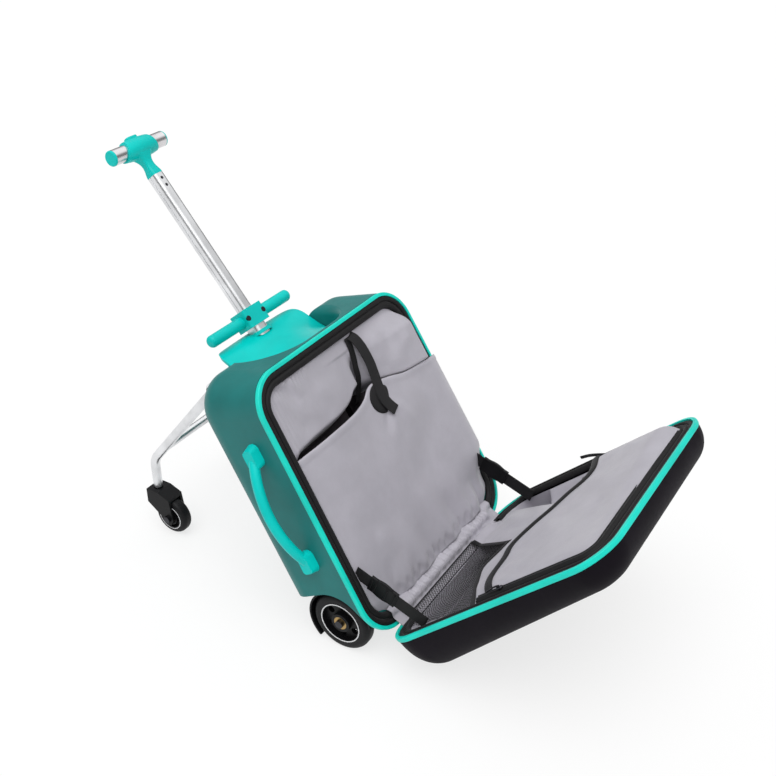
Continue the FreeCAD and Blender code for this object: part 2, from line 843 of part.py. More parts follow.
inner_tube_top = d.grip_reach - d.neck_length


def inner_tube_outside(low, high):
    outer = tube_section(d.inner_tube_width, d.inner_tube_corner, low, high)
    half = d.inner_tube_width / 2
    groove = d.tube_groove_width / 2
    for side, sign in SIDES:
        x_low, x_high = sorted((sign * (half - d.tube_groove_depth), sign * (half + d.cut_overrun)))
        outer = outer.cut(block(x_low, x_high, -groove, groove, low - d.cut_overrun, high + d.cut_overrun))
    return outer


def inner_tube():
    bore = d.inner_tube_width - 2 * d.inner_tube_wall
    hollow = tube_section(
        bore, d.inner_tube_corner - d.inner_tube_wall,
        -d.inner_tube_bottom - d.cut_overrun, inner_tube_top + d.cut_overrun,
    )
    tube = inner_tube_outside(-d.inner_tube_bottom, inner_tube_top).cut(hollow)
    for place in grip_screw_places():
        tube = tube.cut(grip_screw(place))
    return tube


def tube_foot():
    """Socket that holds the lower end of the outer tube between back panel and case wall."""
    half = d.foot_width / 2
    foot = block(
        -half, half, -d.shell_depth + d.shell_wall + d.fit_gap, -panel_back - d.fit_gap,
        d.foot_low, d.foot_low + d.foot_height,
    )
    return foot.cut(tube_room(d.fit_gap, -d.outer_tube_bottom, d.outer_tube_top))


def bar_screw_places():
    return [(sign * d.bar_screw_side, d.block_depth / 2) for side, sign in SIDES]


def child_bar():
    half = d.bar_length / 2
    bar = rod_x(d.bar_radius, -half, half, 0, 0)
    ends = edges_at(bar, "x", -half) + edges_at(bar, "x", half)
    bar = bar.makeFillet(d.bar_end_round, ends)
    clamp = rounded_bar(d.block_width, d.block_depth, d.block_round, -d.block_height / 2, d.block_height / 2)
    solid = bar.fuse(clamp)
    low = -d.block_height - d.cut_overrun
    solid = solid.cut(tube_section(d.outer_tube_width, d.outer_tube_corner, low, d.outer_tube_top))
    room = d.inner_tube_width + 2 * d.fit_gap
    solid = solid.cut(
        tube_section(room, d.inner_tube_corner + d.fit_gap, low, d.block_height + d.cut_overrun)
    )
    for x, y in bar_screw_places():
        solid = solid.cut(screw(x, y))
    return solid.removeSplitter()


def screw(x, y):
    """A clamp screw that goes into the block from behind, its head sunk flush."""
    shank = Part.makeCylinder(d.screw_radius, d.bar_screw_length, V(x, y, 0), -Y_AXIS)
    head = Part.makeCylinder(d.screw_head_radius, d.screw_head_height, V(x, y, 0), -Y_AXIS)
    return head.fuse(shank)


def child_bar_screws():
    return Part.makeCompound([screw(x, y).removeSplitter() for x, y in bar_screw_places()])


def button_body(gap, low, high):
    bar = rounded_bar(
        d.button_length + 2 * gap, d.button_width + 2 * gap, d.button_corner + gap, low, high
    )
    bar.translate(V(0, 0, d.grip_reach))
    return bar


NECK_RISE_SHARES = (0.0, 0.2, 0.4, 0.56, 0.72, 0.88)
NECK_WIDTH_SHARES = (0.0, 0.0, 0.0, 0.1, 0.5, 1.0)
NECK_WAIST_SHARES = (0.0, 0.55, 1.0, 0.8, 0.4, 0.0)
NECK_CORNER_SHARE = 0.27


def neck():
    """Waisted neck between the tube's end and the barrel."""
    wires = []
    for rise, flare, waist in zip(NECK_RISE_SHARES, NECK_WIDTH_SHARES, NECK_WAIST_SHARES):
        narrow = d.inner_tube_width + (d.neck_waist - d.inner_tube_width) * waist
        width = narrow + (d.neck_flare_width - narrow) * flare
        depth = narrow + (d.neck_flare_depth - narrow) * flare
        level = d.neck_length * (rise - 1)
        corners = [
            V(width / 2, depth / 2, level),
            V(-width / 2, depth / 2, level),
            V(-width / 2, -depth / 2, level),
            V(width / 2, -depth / 2, level),
        ]
        wires.append(rounded_wire(corners, [depth * NECK_CORNER_SHARE] * len(corners)))
    return Part.makeLoft(wires, True, False)


def barrel():
    """Swollen cross piece, its ends cut on the slant so that the lower lips reach further out."""
    end = d.barrel_half_length
    side = [
        Part.makeLine(V(-end, 0, 0), V(-end, 0, d.barrel_end_radius)),
        Part.Arc(
            V(-end, 0, d.barrel_end_radius), V(0, 0, d.barrel_middle_radius), V(end, 0, d.barrel_end_radius)
        ).toShape(),
        Part.makeLine(V(end, 0, d.barrel_end_radius), V(end, 0, 0)),
        Part.makeLine(V(end, 0, 0), V(-end, 0, 0)),
    ]
    solid = Part.Face(Part.Wire(side)).revolve(V(0, 0, 0), X_AXIS, FULL_TURN)
    reach = d.barrel_middle_radius
    for side_name, sign in SIDES:
        corners = [
            V(sign * d.barrel_top_half_length, -d.cut_overrun, reach),
            V(sign * d.grip_length, -d.cut_overrun, reach),
            V(sign * d.grip_length, -d.cut_overrun, -reach),
            V(sign * end, -d.cut_overrun, -reach),
        ]
        wedge = Part.Face(Part.makePolygon(corners + [corners[0]])).extrude(V(0, 2 * d.cut_overrun, 0))
        solid = solid.cut(wedge)
    return solid


def t_grip():
    """Moulded T piece: a barrel across, a waisted neck, a tang in the tube, a well for the button."""
    bore = d.inner_tube_width - 2 * d.inner_tube_wall
    tang = rounded_bar(
        bore - 2 * d.fit_gap, bore - 2 * d.fit_gap, d.inner_tube_corner - d.inner_tube_wall - d.fit_gap,
        -d.neck_length - d.tang_length, -d.neck_length,
    )
    solid = barrel().fuse(neck()).fuse(tang)
    for side_name, sign in SIDES:
        low, high = sorted((sign * d.grip_sleeve_start, sign * d.grip_length))
        solid = solid.cut(rod_x(d.grip_radius, low, high, 0, 0))
    solid.translate(V(0, 0, d.grip_reach))
    well = d.button_top - d.button_height - d.spring_length
    solid = solid.cut(button_body(d.button_gap, well, d.button_top + d.cut_overrun))
    for place in grip_screw_places():
        solid = solid.cut(grip_screw(place))
    return solid.removeSplitter()


def grip_screw_places():
    first = inner_tube_top - d.grip_screw_drop
    return [first, first - d.grip_screw_step]


def grip_screw(place):
    """A sunk screw through the tube's rear wall into the grip's tang."""
    outside = d.inner_tube_width / 2
    return Part.makeCylinder(d.grip_screw_radius, d.grip_screw_length, V(0, outside, place), -Y_AXIS)


def grip_screws():
    return Part.makeCompound([grip_screw(place) for place in grip_screw_places()])


def release_button():
    body = button_body(0, d.button_top - d.button_height, d.button_top)
    return body.makeFillet(d.button_round, edges_at(body, "z", d.grip_reach + d.button_top))


def button_spring():
    low = d.grip_reach + d.button_top - d.button_height - d.spring_length
    outer = Part.makeCylinder(d.spring_radius, d.spring_length, V(0, 0, low), Z_AXIS)
    return outer.cut(Part.makeCylinder(d.spring_radius - d.spring_wall, d.spring_length, V(0, 0, low), Z_AXIS))


# Caster legs, in the standing vehicle's frame: y towards the rear, z up, rear axle at y zero.

pivot = case_frame.multVec(V(0, -d.leg_pivot_setback, d.leg_pivot_rise))
bend = V(0, -d.leg_bend_forward, d.leg_bend_height)
leg_foot = V(0, -d.leg_bend_forward, d.leg_foot_height)
CROSSBAR_SHARE = 0.845


def leg_path(x):
    """Axis of one leg: a straight run, a bend and an upright stem."""
    upper = (pivot - bend).normalize()
    lower = (leg_foot - bend).normalize()
    half = upper.getAngle(lower) / 2
    reach = d.leg_bend_radius / math.tan(half)
    inward = (upper + lower).normalize()
    middle = bend + inward * (d.leg_bend_radius / math.sin(half) - d.leg_bend_radius)
    across = V(x, 0, 0)
    return Part.Wire([
        Part.makeLine(pivot + across, bend + upper * reach + across),
        Part.Arc(bend + upper * reach + across, middle + across, bend + lower * reach + across).toShape(),
        Part.makeLine(bend + lower * reach + across, leg_foot + across),
    ])


def leg_sweep(x, radius):
    direction = (bend - pivot).normalize()
    section = Part.Wire([Part.makeCircle(radius, pivot + V(x, 0, 0), direction)])
    return leg_path(x).makePipeShell([section], True, False)


def leg_tube(sign):
    x = sign * d.leg_side
    eye = rod_x(d.eye_radius, x - d.eye_width / 2, x + d.eye_width / 2, pivot.y, pivot.z)
    hole = rod_x(d.eye_bore_radius, x - d.eye_width, x + d.eye_width, pivot.y, pivot.z)
    hollow = leg_sweep(x, d.leg_bore_radius).cut(eye)
    return leg_sweep(x, d.leg_radius).cut(hollow).fuse(eye).cut(hole).removeSplitter()


def crossbar():
    """Bar between the legs, its ends coped to the leg tubes."""
    place = pivot + (bend - pivot) * CROSSBAR_SHARE
    bar = rod_x(d.crossbar_radius, -d.leg_side, d.leg_side, place.y, place.z)
    for side, sign in SIDES:
        bar = bar.cut(leg_sweep(sign * d.leg_side, d.leg_radius))
    return bar


def stem_bushes():
    """Plastic bushes in the feet of both legs."""
    bushes = []
    for side, sign in SIDES:
        place = leg_foot + V(sign * d.leg_side, 0, 0)
        outer = Part.makeCylinder(d.leg_bore_radius, d.stem_bush_length, place, Z_AXIS)
        bushes.append(outer.cut(Part.makeCylinder(d.stem_bush_bore, d.stem_bush_length, place, Z_AXIS)))
    return Part.makeCompound(bushes)


def leg_bracket(sign):
    """Bearing block for the leg shaft on the back of the case."""
    middle = sign * d.bracket_side
    low = middle - d.bracket_width / 2
    wall = -d.shell_depth - d.fit_gap
    reach = d.leg_pivot_setback
    corners = [
        V(low, wall, d.bracket_low), V(low, wall, d.bracket_high),
        V(low, -reach, d.leg_pivot_rise + d.bracket_boss),
        V(low, -reach - d.bracket_boss, d.leg_pivot_rise), V(low, -reach, d.leg_pivot_rise - d.bracket_boss),
    ]
    plate = Part.Face(Part.makePolygon(corners + [corners[0]])).extrude(V(d.bracket_width, 0, 0))
    hole = rod_x(d.shaft_radius, low - d.cut_overrun, low + 2 * d.cut_overrun, -reach, d.leg_pivot_rise)
    return plate.cut(hole)


def leg_pivot_shaft():
    half = d.shaft_half_length
    shaft = rod_x(d.shaft_radius, -half, half, 0, 0)
    for side, sign in SIDES:
        low, high = sorted((sign * half, sign * (half + d.shaft_head_thickness)))
        shaft = shaft.fuse(rod_x(d.shaft_head_radius, low, high, 0, 0))
    return shaft.removeSplitter()


def mudguard(sign):
    """Black cup around the wheel's upper half, closed towards the case."""
    inner = d.arch_side + d.fit_gap
    outer_radius = d.arch_radius - d.fit_gap
    low, high = sorted((sign * inner, sign * (inner + d.mudguard_reach)))
    cup = rod_x(outer_radius, low, high, -d.wheel_setback, d.wheel_rise)
    start = inner + d.mudguard_wall
    low, high = sorted((sign * start, sign * (start + d.mudguard_reach + d.cut_overrun)))
    cup = cup.cut(rod_x(outer_radius - d.mudguard_thickness, low, high, -d.wheel_setback, d.wheel_rise))
    low, high = sorted((0, sign * d.rim_bottom_half_width))
    below = block(
        low, high, -d.shell_depth - d.cut_overrun, d.cut_overrun,
        -2 * d.arch_radius, d.wheel_rise - d.hub_radius,
    )
    cup = cup.cut(below)
    low, high = sorted((sign * d.rear_axle_start, sign * d.rear_axle_end))
    return cup.cut(rod_x(d.axle_radius, low, high, -d.wheel_setback, d.wheel_rise))


def side_wall(along):
    """Where the case's side is at the carry handle's depth."""
    return half_width(along - rise_at(-d.carry_setback))


def carry_arc(radius):
    """Bowed rod of the carry handle."""
    low, high = d.carry_low, d.carry_high
    start = V(side_wall(low) + d.carry_foot_rise, -d.carry_setback, low)
    end = V(side_wall(high) + d.carry_foot_rise, -d.carry_setback, high)
    top = V(side_wall(carry_mid) + d.carry_foot_rise + d.carry_rise, -d.carry_setback, carry_mid)
    path = Part.Wire([Part.Arc(start, top, end).toShape()])
    edge = path.Edges[0]
    section = Part.Wire([Part.makeCircle(radius, start, edge.tangentAt(edge.FirstParameter))])
    return path.makePipeShell([section], True, False)


def carry_end(place, inward):
    """Wedge-shaped end piece of the carry handle on the case's side."""
    wires = []
    for height, slope in ((0, 0), (d.carry_end_height, d.carry_end_slope)):
        back = place - inward * (d.carry_end_length / 2 - slope)
        front = place + inward * d.carry_end_length / 2
        half = d.carry_end_width / 2 - slope / 2
        corners = []
        for y, z in ((-half, back), (half, back), (half, front), (-half, front)):
            corners.append(V(side_wall(z) + height + d.fit_gap, y - d.carry_setback, z))
        wires.append(rounded_wire(corners, [d.carry_end_corner - slope] * len(corners)))
    solid = Part.makeLoft(wires, True, True)
    return solid.cut(carry_arc(d.carry_radius))


def carry_handle_ends():
    return Part.makeCompound([carry_end(d.carry_low, 1), carry_end(d.carry_high, -1)])


def carry_handle():
    """The rod stops where its foot would enter the case's side."""
    rod = carry_arc(d.carry_radius)
    low, high = d.carry_low - d.cut_overrun, d.carry_high + d.cut_overrun
    face = Part.Face(Part.makePolygon([
        V(side_wall(low) + d.fit_gap, 0, low), V(side_wall(high) + d.fit_gap, 0, high),
        V(side_wall(low) + d.rim_length, 0, high), V(side_wall(low) + d.rim_length, 0, low),
        V(side_wall(low) + d.fit_gap, 0, low),
    ]))
    return rod.common(face.extrude(V(0, -d.shell_depth, 0)))


# Lid, in its own frame: closed it lies on the rim, y outwards.

LID_ROUND_SHARES = (0.0, 0.35, 0.6, 0.82, 1.0)


def lid_level(start, share, inset):
    """Depth of one section of the lid, which is shallower towards its far end."""
    def level(along):
        depth = d.lid_hinge_depth + (d.lid_far_depth - d.lid_hinge_depth) * along / d.rim_length
        return start + share * (depth - inset - start)
    return level


def lid_form(inset, start):
    wires = []
    for share in LID_ROUND_SHARES:
        angle = share * math.pi / 2
        drawn = 1 - math.cos(angle)
        level = lid_level(start, math.sin(angle), inset)
        side = inset + d.lid_edge * drawn
        wires.append(rim_wire(side, inset + d.lid_hinge_edge * drawn, level, 0))
    return Part.makeLoft(wires, True, False)


def lid_cover():
    return lid_form(0, piping_end).cut(lid_form(d.lid_wall, piping_end)).removeSplitter()


def lid_lining():
    inset = d.piping_inner_width + d.fit_gap
    outer = lid_form(inset, under_tape)
    return outer.cut(lid_form(inset + d.lining_thickness, under_tape)).removeSplitter()


def lid_plate(corners, thickness):
    """A flat pocket panel under the lid's zip tape, kept inside the pocket outline."""
    wire = Part.makePolygon(corners + [corners[0]])
    plate = Part.Face(wire).extrude(V(0, thickness, 0))
    inset = d.pocket_inset
    limit = Part.Face(rim_wire(inset, inset, flat(0), 0)).extrude(V(0, d.lid_hinge_depth, 0))
    return plate.common(limit)


def rectangle(x_low, x_high, z_low, z_high, level):
    return [
        V(x_low, level, z_low), V(x_high, level, z_low), V(x_high, level, z_high), V(x_low, level, z_high),
    ]


def mesh_pocket():
    """Net panel beside the hinge, one holed face."""
    frame = rectangle(-d.net_right_reach, d.net_left_reach, d.net_start, d.net_end, under_tape)
    hole = d.net_pitch - d.net_thread
    columns = int((d.net_left_reach + d.net_right_reach - 2 * d.net_margin) / d.net_pitch)
    rows = int((d.net_end - d.net_start - 2 * d.net_margin) / d.net_pitch)
    holes = []
    for i in range(columns):
        for j in range(rows):
            x = d.net_margin - d.net_right_reach + i * d.net_pitch
            z = d.net_start + d.net_margin + j * d.net_pitch
            corners = rectangle(x, x + hole, z, z + hole, under_tape)
            holes.append(Part.makePolygon(corners + [corners[0]]))
    outline = Part.makePolygon(frame + [frame[0]])
    face = Part.makeFace([outline] + holes, "Part::FaceMakerBullseye")
    net = face.extrude(V(0, d.net_thickness, 0))
    inset = d.pocket_inset
    limit = Part.Face(rim_wire(inset, inset, flat(0), 0)).extrude(V(0, d.lid_hinge_depth, 0))
    return net.common(limit)


def slip_pocket():
    corners = rectangle(
        -d.slip_pocket_right, -d.net_right_reach - d.slip_pocket_gap,
        d.slip_pocket_start, d.slip_pocket_end, under_tape
    )
    return lid_plate(corners, d.lid_pocket_thickness)


def zip_pocket():
    wide = d.rim_bottom_half_width
    corners = rectangle(-wide, wide, d.zip_pocket_start, d.rim_length, under_tape)
    return lid_plate(corners, d.lid_pocket_thickness)


def lid_point(along, depth):
    """A point of the opened lid, in the case's frame."""
    return lid_in_case.multVec(V(0, depth, along))


BUCKLE_SHARE = 0.39
BUCKLE_ROUND_SHARE = 0.33


def strap_line():
    start = V(0, -d.strap_seat, d.strap_shell_place)
    return start, lid_point(d.strap_lid_place, d.strap_seat)


def buckle(sign):
    """Side-release buckle on a side strap."""
    start, end = strap_line()
    middle = start + (end - start) * BUCKLE_SHARE
    angle = math.degrees(math.atan2(start.y - end.y, end.z - start.z))
    bar = rounded_bar(
        d.buckle_thickness, d.buckle_width, d.buckle_thickness * BUCKLE_ROUND_SHARE,
        -d.buckle_length / 2, d.buckle_length / 2,
    )
    bar.Placement = FreeCAD.Placement(
        V(sign * (d.strap_side - d.fit_gap), middle.y, middle.z), turn_x(angle)
    )
    return bar


def side_strap(sign):
    """Webbing between the rims of case and lid, in two lengths beside its buckle."""
    start, end = strap_line()
    run = (end - start).normalize()
    case_half = d.strap_width / 2 / abs(run.y)
    lid_run = lid_in_case.inverse().Rotation.multVec(run)
    lid_half = d.strap_width / 2 / abs(lid_run.y)
    low = sign * d.strap_side - d.strap_thickness / 2
    corners = [
        V(0, -d.strap_seat, d.strap_shell_place + case_half),
        V(0, -d.strap_seat, d.strap_shell_place - case_half),
        lid_point(d.strap_lid_place - lid_half, d.strap_seat),
        lid_point(d.strap_lid_place + lid_half, d.strap_seat),
    ]
    corners = [p + V(low, 0, 0) for p in corners]
    band = Part.Face(Part.makePolygon(corners + [corners[0]])).extrude(V(d.strap_thickness, 0, 0))
    return band.cut(buckle(sign))


def hinge_gusset():
    """Gathered fabric roll that lies in the fold between case and lid."""
    half = math.radians(d.lid_open_angle) / 2
    reach = (d.roll_radius - d.rim_gap + d.fit_gap) / math.sin(half)
    return rod_x(
        d.roll_radius, -d.roll_half_length, d.roll_half_length, reach * math.sin(half), reach * math.cos(half)
    )


# Case and its fabric.
add("shell", shell(), case_frame)
add("shell_piping", piping(), case_frame)
add("shell_zip_tape", rim_ring(d.piping_inner_width, d.tape_inset, -tape_top, -tape_end), case_frame)
add("shell_lining", shell_lining(), case_frame)
add("inner_back_panel", inner_back_panel(), case_frame)
add("pocket_panel", pocket_panel(), case_frame)
add("divider_strap", divider_strap(), case_frame)
add("hinge_gusset", hinge_gusset(), case_frame)
add("seat", seat(), case_frame)
add("tube_foot", tube_foot(), case_frame)
add("carry_handle", carry_handle(), case_frame)
add("carry_handle_ends", carry_handle_ends(), case_frame)
for side, sign in SIDES:
    add("leg_bracket_" + side, leg_bracket(sign), case_frame)
    add("mudguard_" + side, mudguard(sign), case_frame)
    add("side_strap_" + side, side_strap(sign), case_frame)
    add("buckle_" + side, buckle(sign), case_frame)

# Handle.
add("outer_tube", outer_tube(), handle_frame)
add("tube_bush", tube_bush(), handle_frame)
add("child_bar", child_bar(), handle_frame)
add("child_bar_screws", child_bar_screws(), handle_frame)
add("inner_tube", inner_tube(), handle_frame)
add("t_grip", t_grip(), handle_frame)
add("grip_screws", grip_screws(), handle_frame)
add("release_button", release_button(), handle_frame)
add("button_spring", button_spring(), handle_frame)

# Lid.
add("lid_cover", lid_cover(), lid_frame)
lid_piping_shape = piping().mirror(V(0, 0, 0), Y_AXIS)
add("lid_piping", lid_piping_shape, lid_frame)
add("lid_zip_tape", rim_ring(d.piping_inner_width, d.tape_inset, tape_top, tape_end), lid_frame)
add("lid_lining", lid_lining(), lid_frame)
add("mesh_pocket", mesh_pocket(), lid_frame)
add("slip_pocket", slip_pocket(), lid_frame)
add("zip_pocket", zip_pocket(), lid_frame)

# Legs.
vehicle = FreeCAD.Placement()
add("crossbar", crossbar(), vehicle)
add("stem_bushes", stem_bushes(), vehicle)
add("leg_pivot_shaft", leg_pivot_shaft(), at(0, pivot.y, pivot.z))
for side, sign in SIDES:
    add("leg_tube_" + side, leg_tube(sign), vehicle)


# Turned pieces: wheels, bearings, bolts, grip sleeves and caps.

def wheel_core(label, width, hub, bearing_seat, web, rim_inner, rim_outer):
    """Hub with two bearing seats, a web with windows and a rim."""
    corners = [
        ("-" + width, "bearing_radius"), ("-" + bearing_seat, "bearing_radius"),
        ("-" + bearing_seat, "axle_head_radius"), (bearing_seat, "axle_head_radius"),
        (bearing_seat, "bearing_radius"), (width, "bearing_radius"), (width, hub), (web, hub),
        (web, rim_inner), (width, rim_inner), (width, rim_outer), ("-" + width, rim_outer),
        ("-" + width, rim_inner), ("-" + web, rim_inner), ("-" + web, hub), ("-" + width, hub),
    ]
    return turned(label, corners)


WINDOW_SHARE = 0.36


def spoke_windows(body, label, inner, outer):
    """Round windows through the web, one between each pair of spokes."""
    middle = (inner + outer) / 2
    radius = (outer - inner) * WINDOW_SHARE
    sketch = body.newObject("Sketcher::SketchObject", label + "_window")
    sketch.AttachmentSupport = [(plane_of(body, "YZ_Plane"), "")]
    sketch.MapMode = "FlatFace"
    sketch.addGeometry(Part.Circle(V(0, middle, 0), Z_AXIS, radius))
    pocket = body.newObject("PartDesign::Pocket", label + "_windows")
    pocket.Profile = sketch
    pocket.Type = "ThroughAll"
    pocket.Midplane = True
    doc.recompute()
    pattern = body.newObject("PartDesign::PolarPattern", label + "_spokes")
    pattern.Originals = [pocket]
    pattern.Axis = (sketch, ["N_Axis"])
    pattern.Angle = FULL_TURN
    pattern.Occurrences = SPOKE_COUNT
    body.Tip = pattern
    doc.recompute()


def tyre(label, width, inner, outer, round_alias):
    body = turned(label, [("-" + width, inner), (width, inner), (width, outer), ("-" + width, outer)])
    radius = float(sheet.get(outer))
    round_edges(body, label + "_tread", round_alias, lambda edge: is_round_edge(edge, radius))
    return body


def bearing_pair(width, seat_start):
    """Two ball bearings, as closed rings, in the hub's seats."""
    rings = []
    for side, sign in SIDES:
        low, high = sorted((sign * seat_start, sign * width))
        ring = rod_x(d.bearing_radius, low, high, 0, 0)
        rings.append(ring.cut(rod_x(d.bearing_bore_radius, low, high, 0, 0)))
    return Part.makeCompound(rings)


rear_axle_place = case_frame.multVec(V(0, -d.wheel_setback, d.wheel_rise))
caster_axle_y = d.caster_trail - d.leg_bend_forward
bolts = []
for side, sign in SIDES:
    rear = at(sign * d.rear_wheel_side, rear_axle_place.y, rear_axle_place.z)
    core = wheel_core(
        "rear_core_" + side, "rear_half_width", "hub_radius", "rear_hub_inner", "rear_web_half",
        "rear_rim_radius", "rear_tyre_inner_radius",
    )
    spoke_windows(core, "rear_core_" + side, d.hub_radius, d.rear_rim_radius)
    keep(core, rear)
    keep(
        tyre(
            "rear_tyre_" + side, "rear_half_width", "rear_tyre_inner_radius", "rear_wheel_radius",
            "rear_tread_round",
        ),
        rear,
    )
    add("rear_bearings_" + side, bearing_pair(d.rear_half_width, d.rear_hub_inner), rear)

    front = at(sign * d.leg_side, caster_axle_y, d.caster_wheel_radius)
    core = wheel_core(
        "caster_core_" + side, "caster_half_width", "caster_hub_radius", "caster_hub_inner", "caster_web_half",
        "caster_rim_radius", "caster_tyre_inner_radius",
    )
    keep(core, front)
    keep(
        tyre(
            "caster_tyre_" + side, "caster_half_width", "caster_tyre_inner_radius", "caster_wheel_radius",
            "caster_tread_round",
        ),
        front,
    )
    add("caster_bearings_" + side, bearing_pair(d.caster_half_width, d.caster_hub_inner), front)
    axle = turned(
        "caster_axle_" + side,
        [
            ("-caster_axle_end", "0"), ("caster_axle_end", "0"), ("caster_axle_end", "axle_head_radius"),
            ("fork_half_width", "axle_head_radius"), ("fork_half_width", "axle_radius"),
            ("-fork_half_width", "axle_radius"), ("-fork_half_width", "axle_head_radius"),
            ("-caster_axle_end", "axle_head_radius"),
        ],
    )
    keep(axle, front)
    bolt = rod_x(d.axle_radius, d.rear_axle_start, d.rear_axle_shoulder, rear_axle_place.y, rear_axle_place.z)
    head = rod_x(
        d.axle_head_radius, d.rear_axle_shoulder, d.rear_axle_end, rear_axle_place.y, rear_axle_place.z
    )
    bolt = bolt.fuse(head).removeSplitter()
    bolts.append(bolt if sign > 0 else bolt.mirror(V(0, 0, 0), X_AXIS))
add("rear_axle_bolts", Part.makeCompound(bolts), vehicle)

sleeves = []
caps = []
for side, sign in SIDES:
    low, high = sorted((sign * d.grip_sleeve_start, sign * d.cap_start))
    sleeve = rod_x(d.grip_radius, low, high, 0, d.grip_reach)
    sleeves.append(sleeve.cut(rod_x(d.cap_inner_radius, low, high, 0, d.grip_reach)))
    low, high = sorted((sign * d.cap_start, sign * d.cap_end))
    cap = rod_x(d.grip_radius, low, high, 0, d.grip_reach)
    cap = cap.makeFillet(d.cap_round, edges_at(cap, "x", sign * d.cap_end))
    low, high = sorted((sign * d.cap_plug_start, sign * d.cap_start))
    caps.append(cap.fuse(rod_x(d.cap_inner_radius, low, high, 0, d.grip_reach)).removeSplitter())
add("grip_sleeves", Part.makeCompound(sleeves), handle_frame)
add("grip_caps", Part.makeCompound(caps), handle_frame)


def caster_fork():
    """Two-armed fork with a hood over the wheel and a stem pin, about its wheel's axle."""
    stem = -d.caster_trail
    crown = d.fork_top - d.caster_wheel_radius
    radius = d.fork_wheel_radius
    corners = [
        V(0, stem - d.fork_crown_reach, crown), V(0, stem + d.fork_crown_reach, crown),
        V(0, d.fork_hood_reach, radius + d.fork_arm), V(0, d.fork_arm_round, 0),
        V(0, d.fork_arm_round / 2, -d.fork_arm_round), V(0, -d.fork_arm_round / 2, -d.fork_arm_round),
        V(0, -d.fork_arm_round, 0), V(0, stem - d.fork_crown_reach, crown - d.fork_hood_rise),
    ]
    shift = V(-d.fork_half_width, 0, 0)
    corners = [p + shift for p in corners]
    body = Part.Face(Part.makePolygon(corners + [corners[0]])).extrude(V(d.fork_width, 0, 0))
    body = body.cut(rod_x(radius, -d.fork_half_gap, d.fork_half_gap, 0, 0))
    low_gap = block(
        -d.fork_half_gap, d.fork_half_gap, stem, d.fork_wheel_radius, -d.caster_wheel_radius, 0
    )
    body = body.cut(low_gap)
    body = body.cut(rod_x(d.axle_radius, -d.fork_width, d.fork_width, 0, 0))
    pin = Part.makeCylinder(d.stem_radius, d.stem_length, V(0, stem, crown), Z_AXIS)
    return body.fuse(pin).removeSplitter()


for side, sign in SIDES:
    add("caster_fork_" + side, caster_fork(), at(sign * d.leg_side, caster_axle_y, d.caster_wheel_radius))

# Check every object, then write one file per sub-part.
doc.recompute()
for thing in doc.Objects:
    if "Invalid" in thing.State or "Error" in thing.State:
        raise ValueError("%s failed: %s" % (thing.Name, thing.State))
os.makedirs("parts", exist_ok=True)
for piece in pieces:
    shape = piece.Shape
    if shape.isNull() or not shape.isValid() or not shape.Solids:
        raise ValueError("%s is not a sound solid" % piece.Label)
    shape.exportStep("parts/%s.step" % piece.Label)
print("pieces written:", len(pieces))
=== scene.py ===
import json
import math

import bpy
import numpy as np
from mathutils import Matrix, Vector


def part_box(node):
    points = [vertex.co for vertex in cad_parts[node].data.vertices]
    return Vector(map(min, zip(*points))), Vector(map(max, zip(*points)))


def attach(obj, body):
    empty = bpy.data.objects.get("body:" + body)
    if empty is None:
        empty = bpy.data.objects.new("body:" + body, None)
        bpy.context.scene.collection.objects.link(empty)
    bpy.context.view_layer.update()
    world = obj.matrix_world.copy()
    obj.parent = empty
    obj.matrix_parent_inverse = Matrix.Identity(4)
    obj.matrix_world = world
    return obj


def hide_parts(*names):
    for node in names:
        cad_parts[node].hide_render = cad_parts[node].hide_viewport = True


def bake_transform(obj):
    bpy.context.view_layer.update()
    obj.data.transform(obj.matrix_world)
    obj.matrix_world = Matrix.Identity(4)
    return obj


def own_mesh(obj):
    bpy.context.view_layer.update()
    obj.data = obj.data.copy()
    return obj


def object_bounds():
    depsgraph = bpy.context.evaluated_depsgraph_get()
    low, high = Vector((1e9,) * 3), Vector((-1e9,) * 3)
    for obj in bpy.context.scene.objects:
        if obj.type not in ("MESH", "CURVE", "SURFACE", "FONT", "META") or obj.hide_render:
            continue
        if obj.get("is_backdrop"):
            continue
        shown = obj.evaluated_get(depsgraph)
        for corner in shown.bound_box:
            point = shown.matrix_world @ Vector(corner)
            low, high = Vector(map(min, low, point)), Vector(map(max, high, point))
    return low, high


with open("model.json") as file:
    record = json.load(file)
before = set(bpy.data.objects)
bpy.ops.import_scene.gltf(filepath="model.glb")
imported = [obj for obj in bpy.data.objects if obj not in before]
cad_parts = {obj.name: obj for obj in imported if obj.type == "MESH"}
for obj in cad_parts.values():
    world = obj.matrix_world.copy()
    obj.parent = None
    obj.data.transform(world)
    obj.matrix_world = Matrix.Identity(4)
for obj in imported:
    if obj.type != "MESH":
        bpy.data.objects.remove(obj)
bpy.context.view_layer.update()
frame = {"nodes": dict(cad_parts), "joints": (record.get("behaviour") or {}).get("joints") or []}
nodes = frame["nodes"]
joints = {joint["name"]: joint for joint in frame["joints"]}
scene = bpy.context.scene

# Frames, in millimetres: x across, n out of the case's mouth and into the lid, s up the rim from the hinge.
# The lid's frame is the case's, turned about the hinge.
MM = 0.001
CIRCLE = 2 * math.pi
SIDEWAYS = Vector((1, 0, 0))
UPWARDS = Vector((0, 0, 1))
HINGE = Vector(joints["lid_hinge"]["pos_m"])
CASE_TILT = math.radians(31.6)
LID_TURN = CASE_TILT - math.radians(joints["lid_hinge"]["range_deg"][1])
CASE_NORMAL = Vector((0, math.cos(CASE_TILT), math.sin(CASE_TILT)))
LID_NORMAL = Vector((0, math.cos(LID_TURN), math.sin(LID_TURN)))


def placed(turn, x, n, s):
    c, t = math.cos(turn), math.sin(turn)
    return HINGE + Vector((x, n * c - s * t, n * t + s * c)) * MM


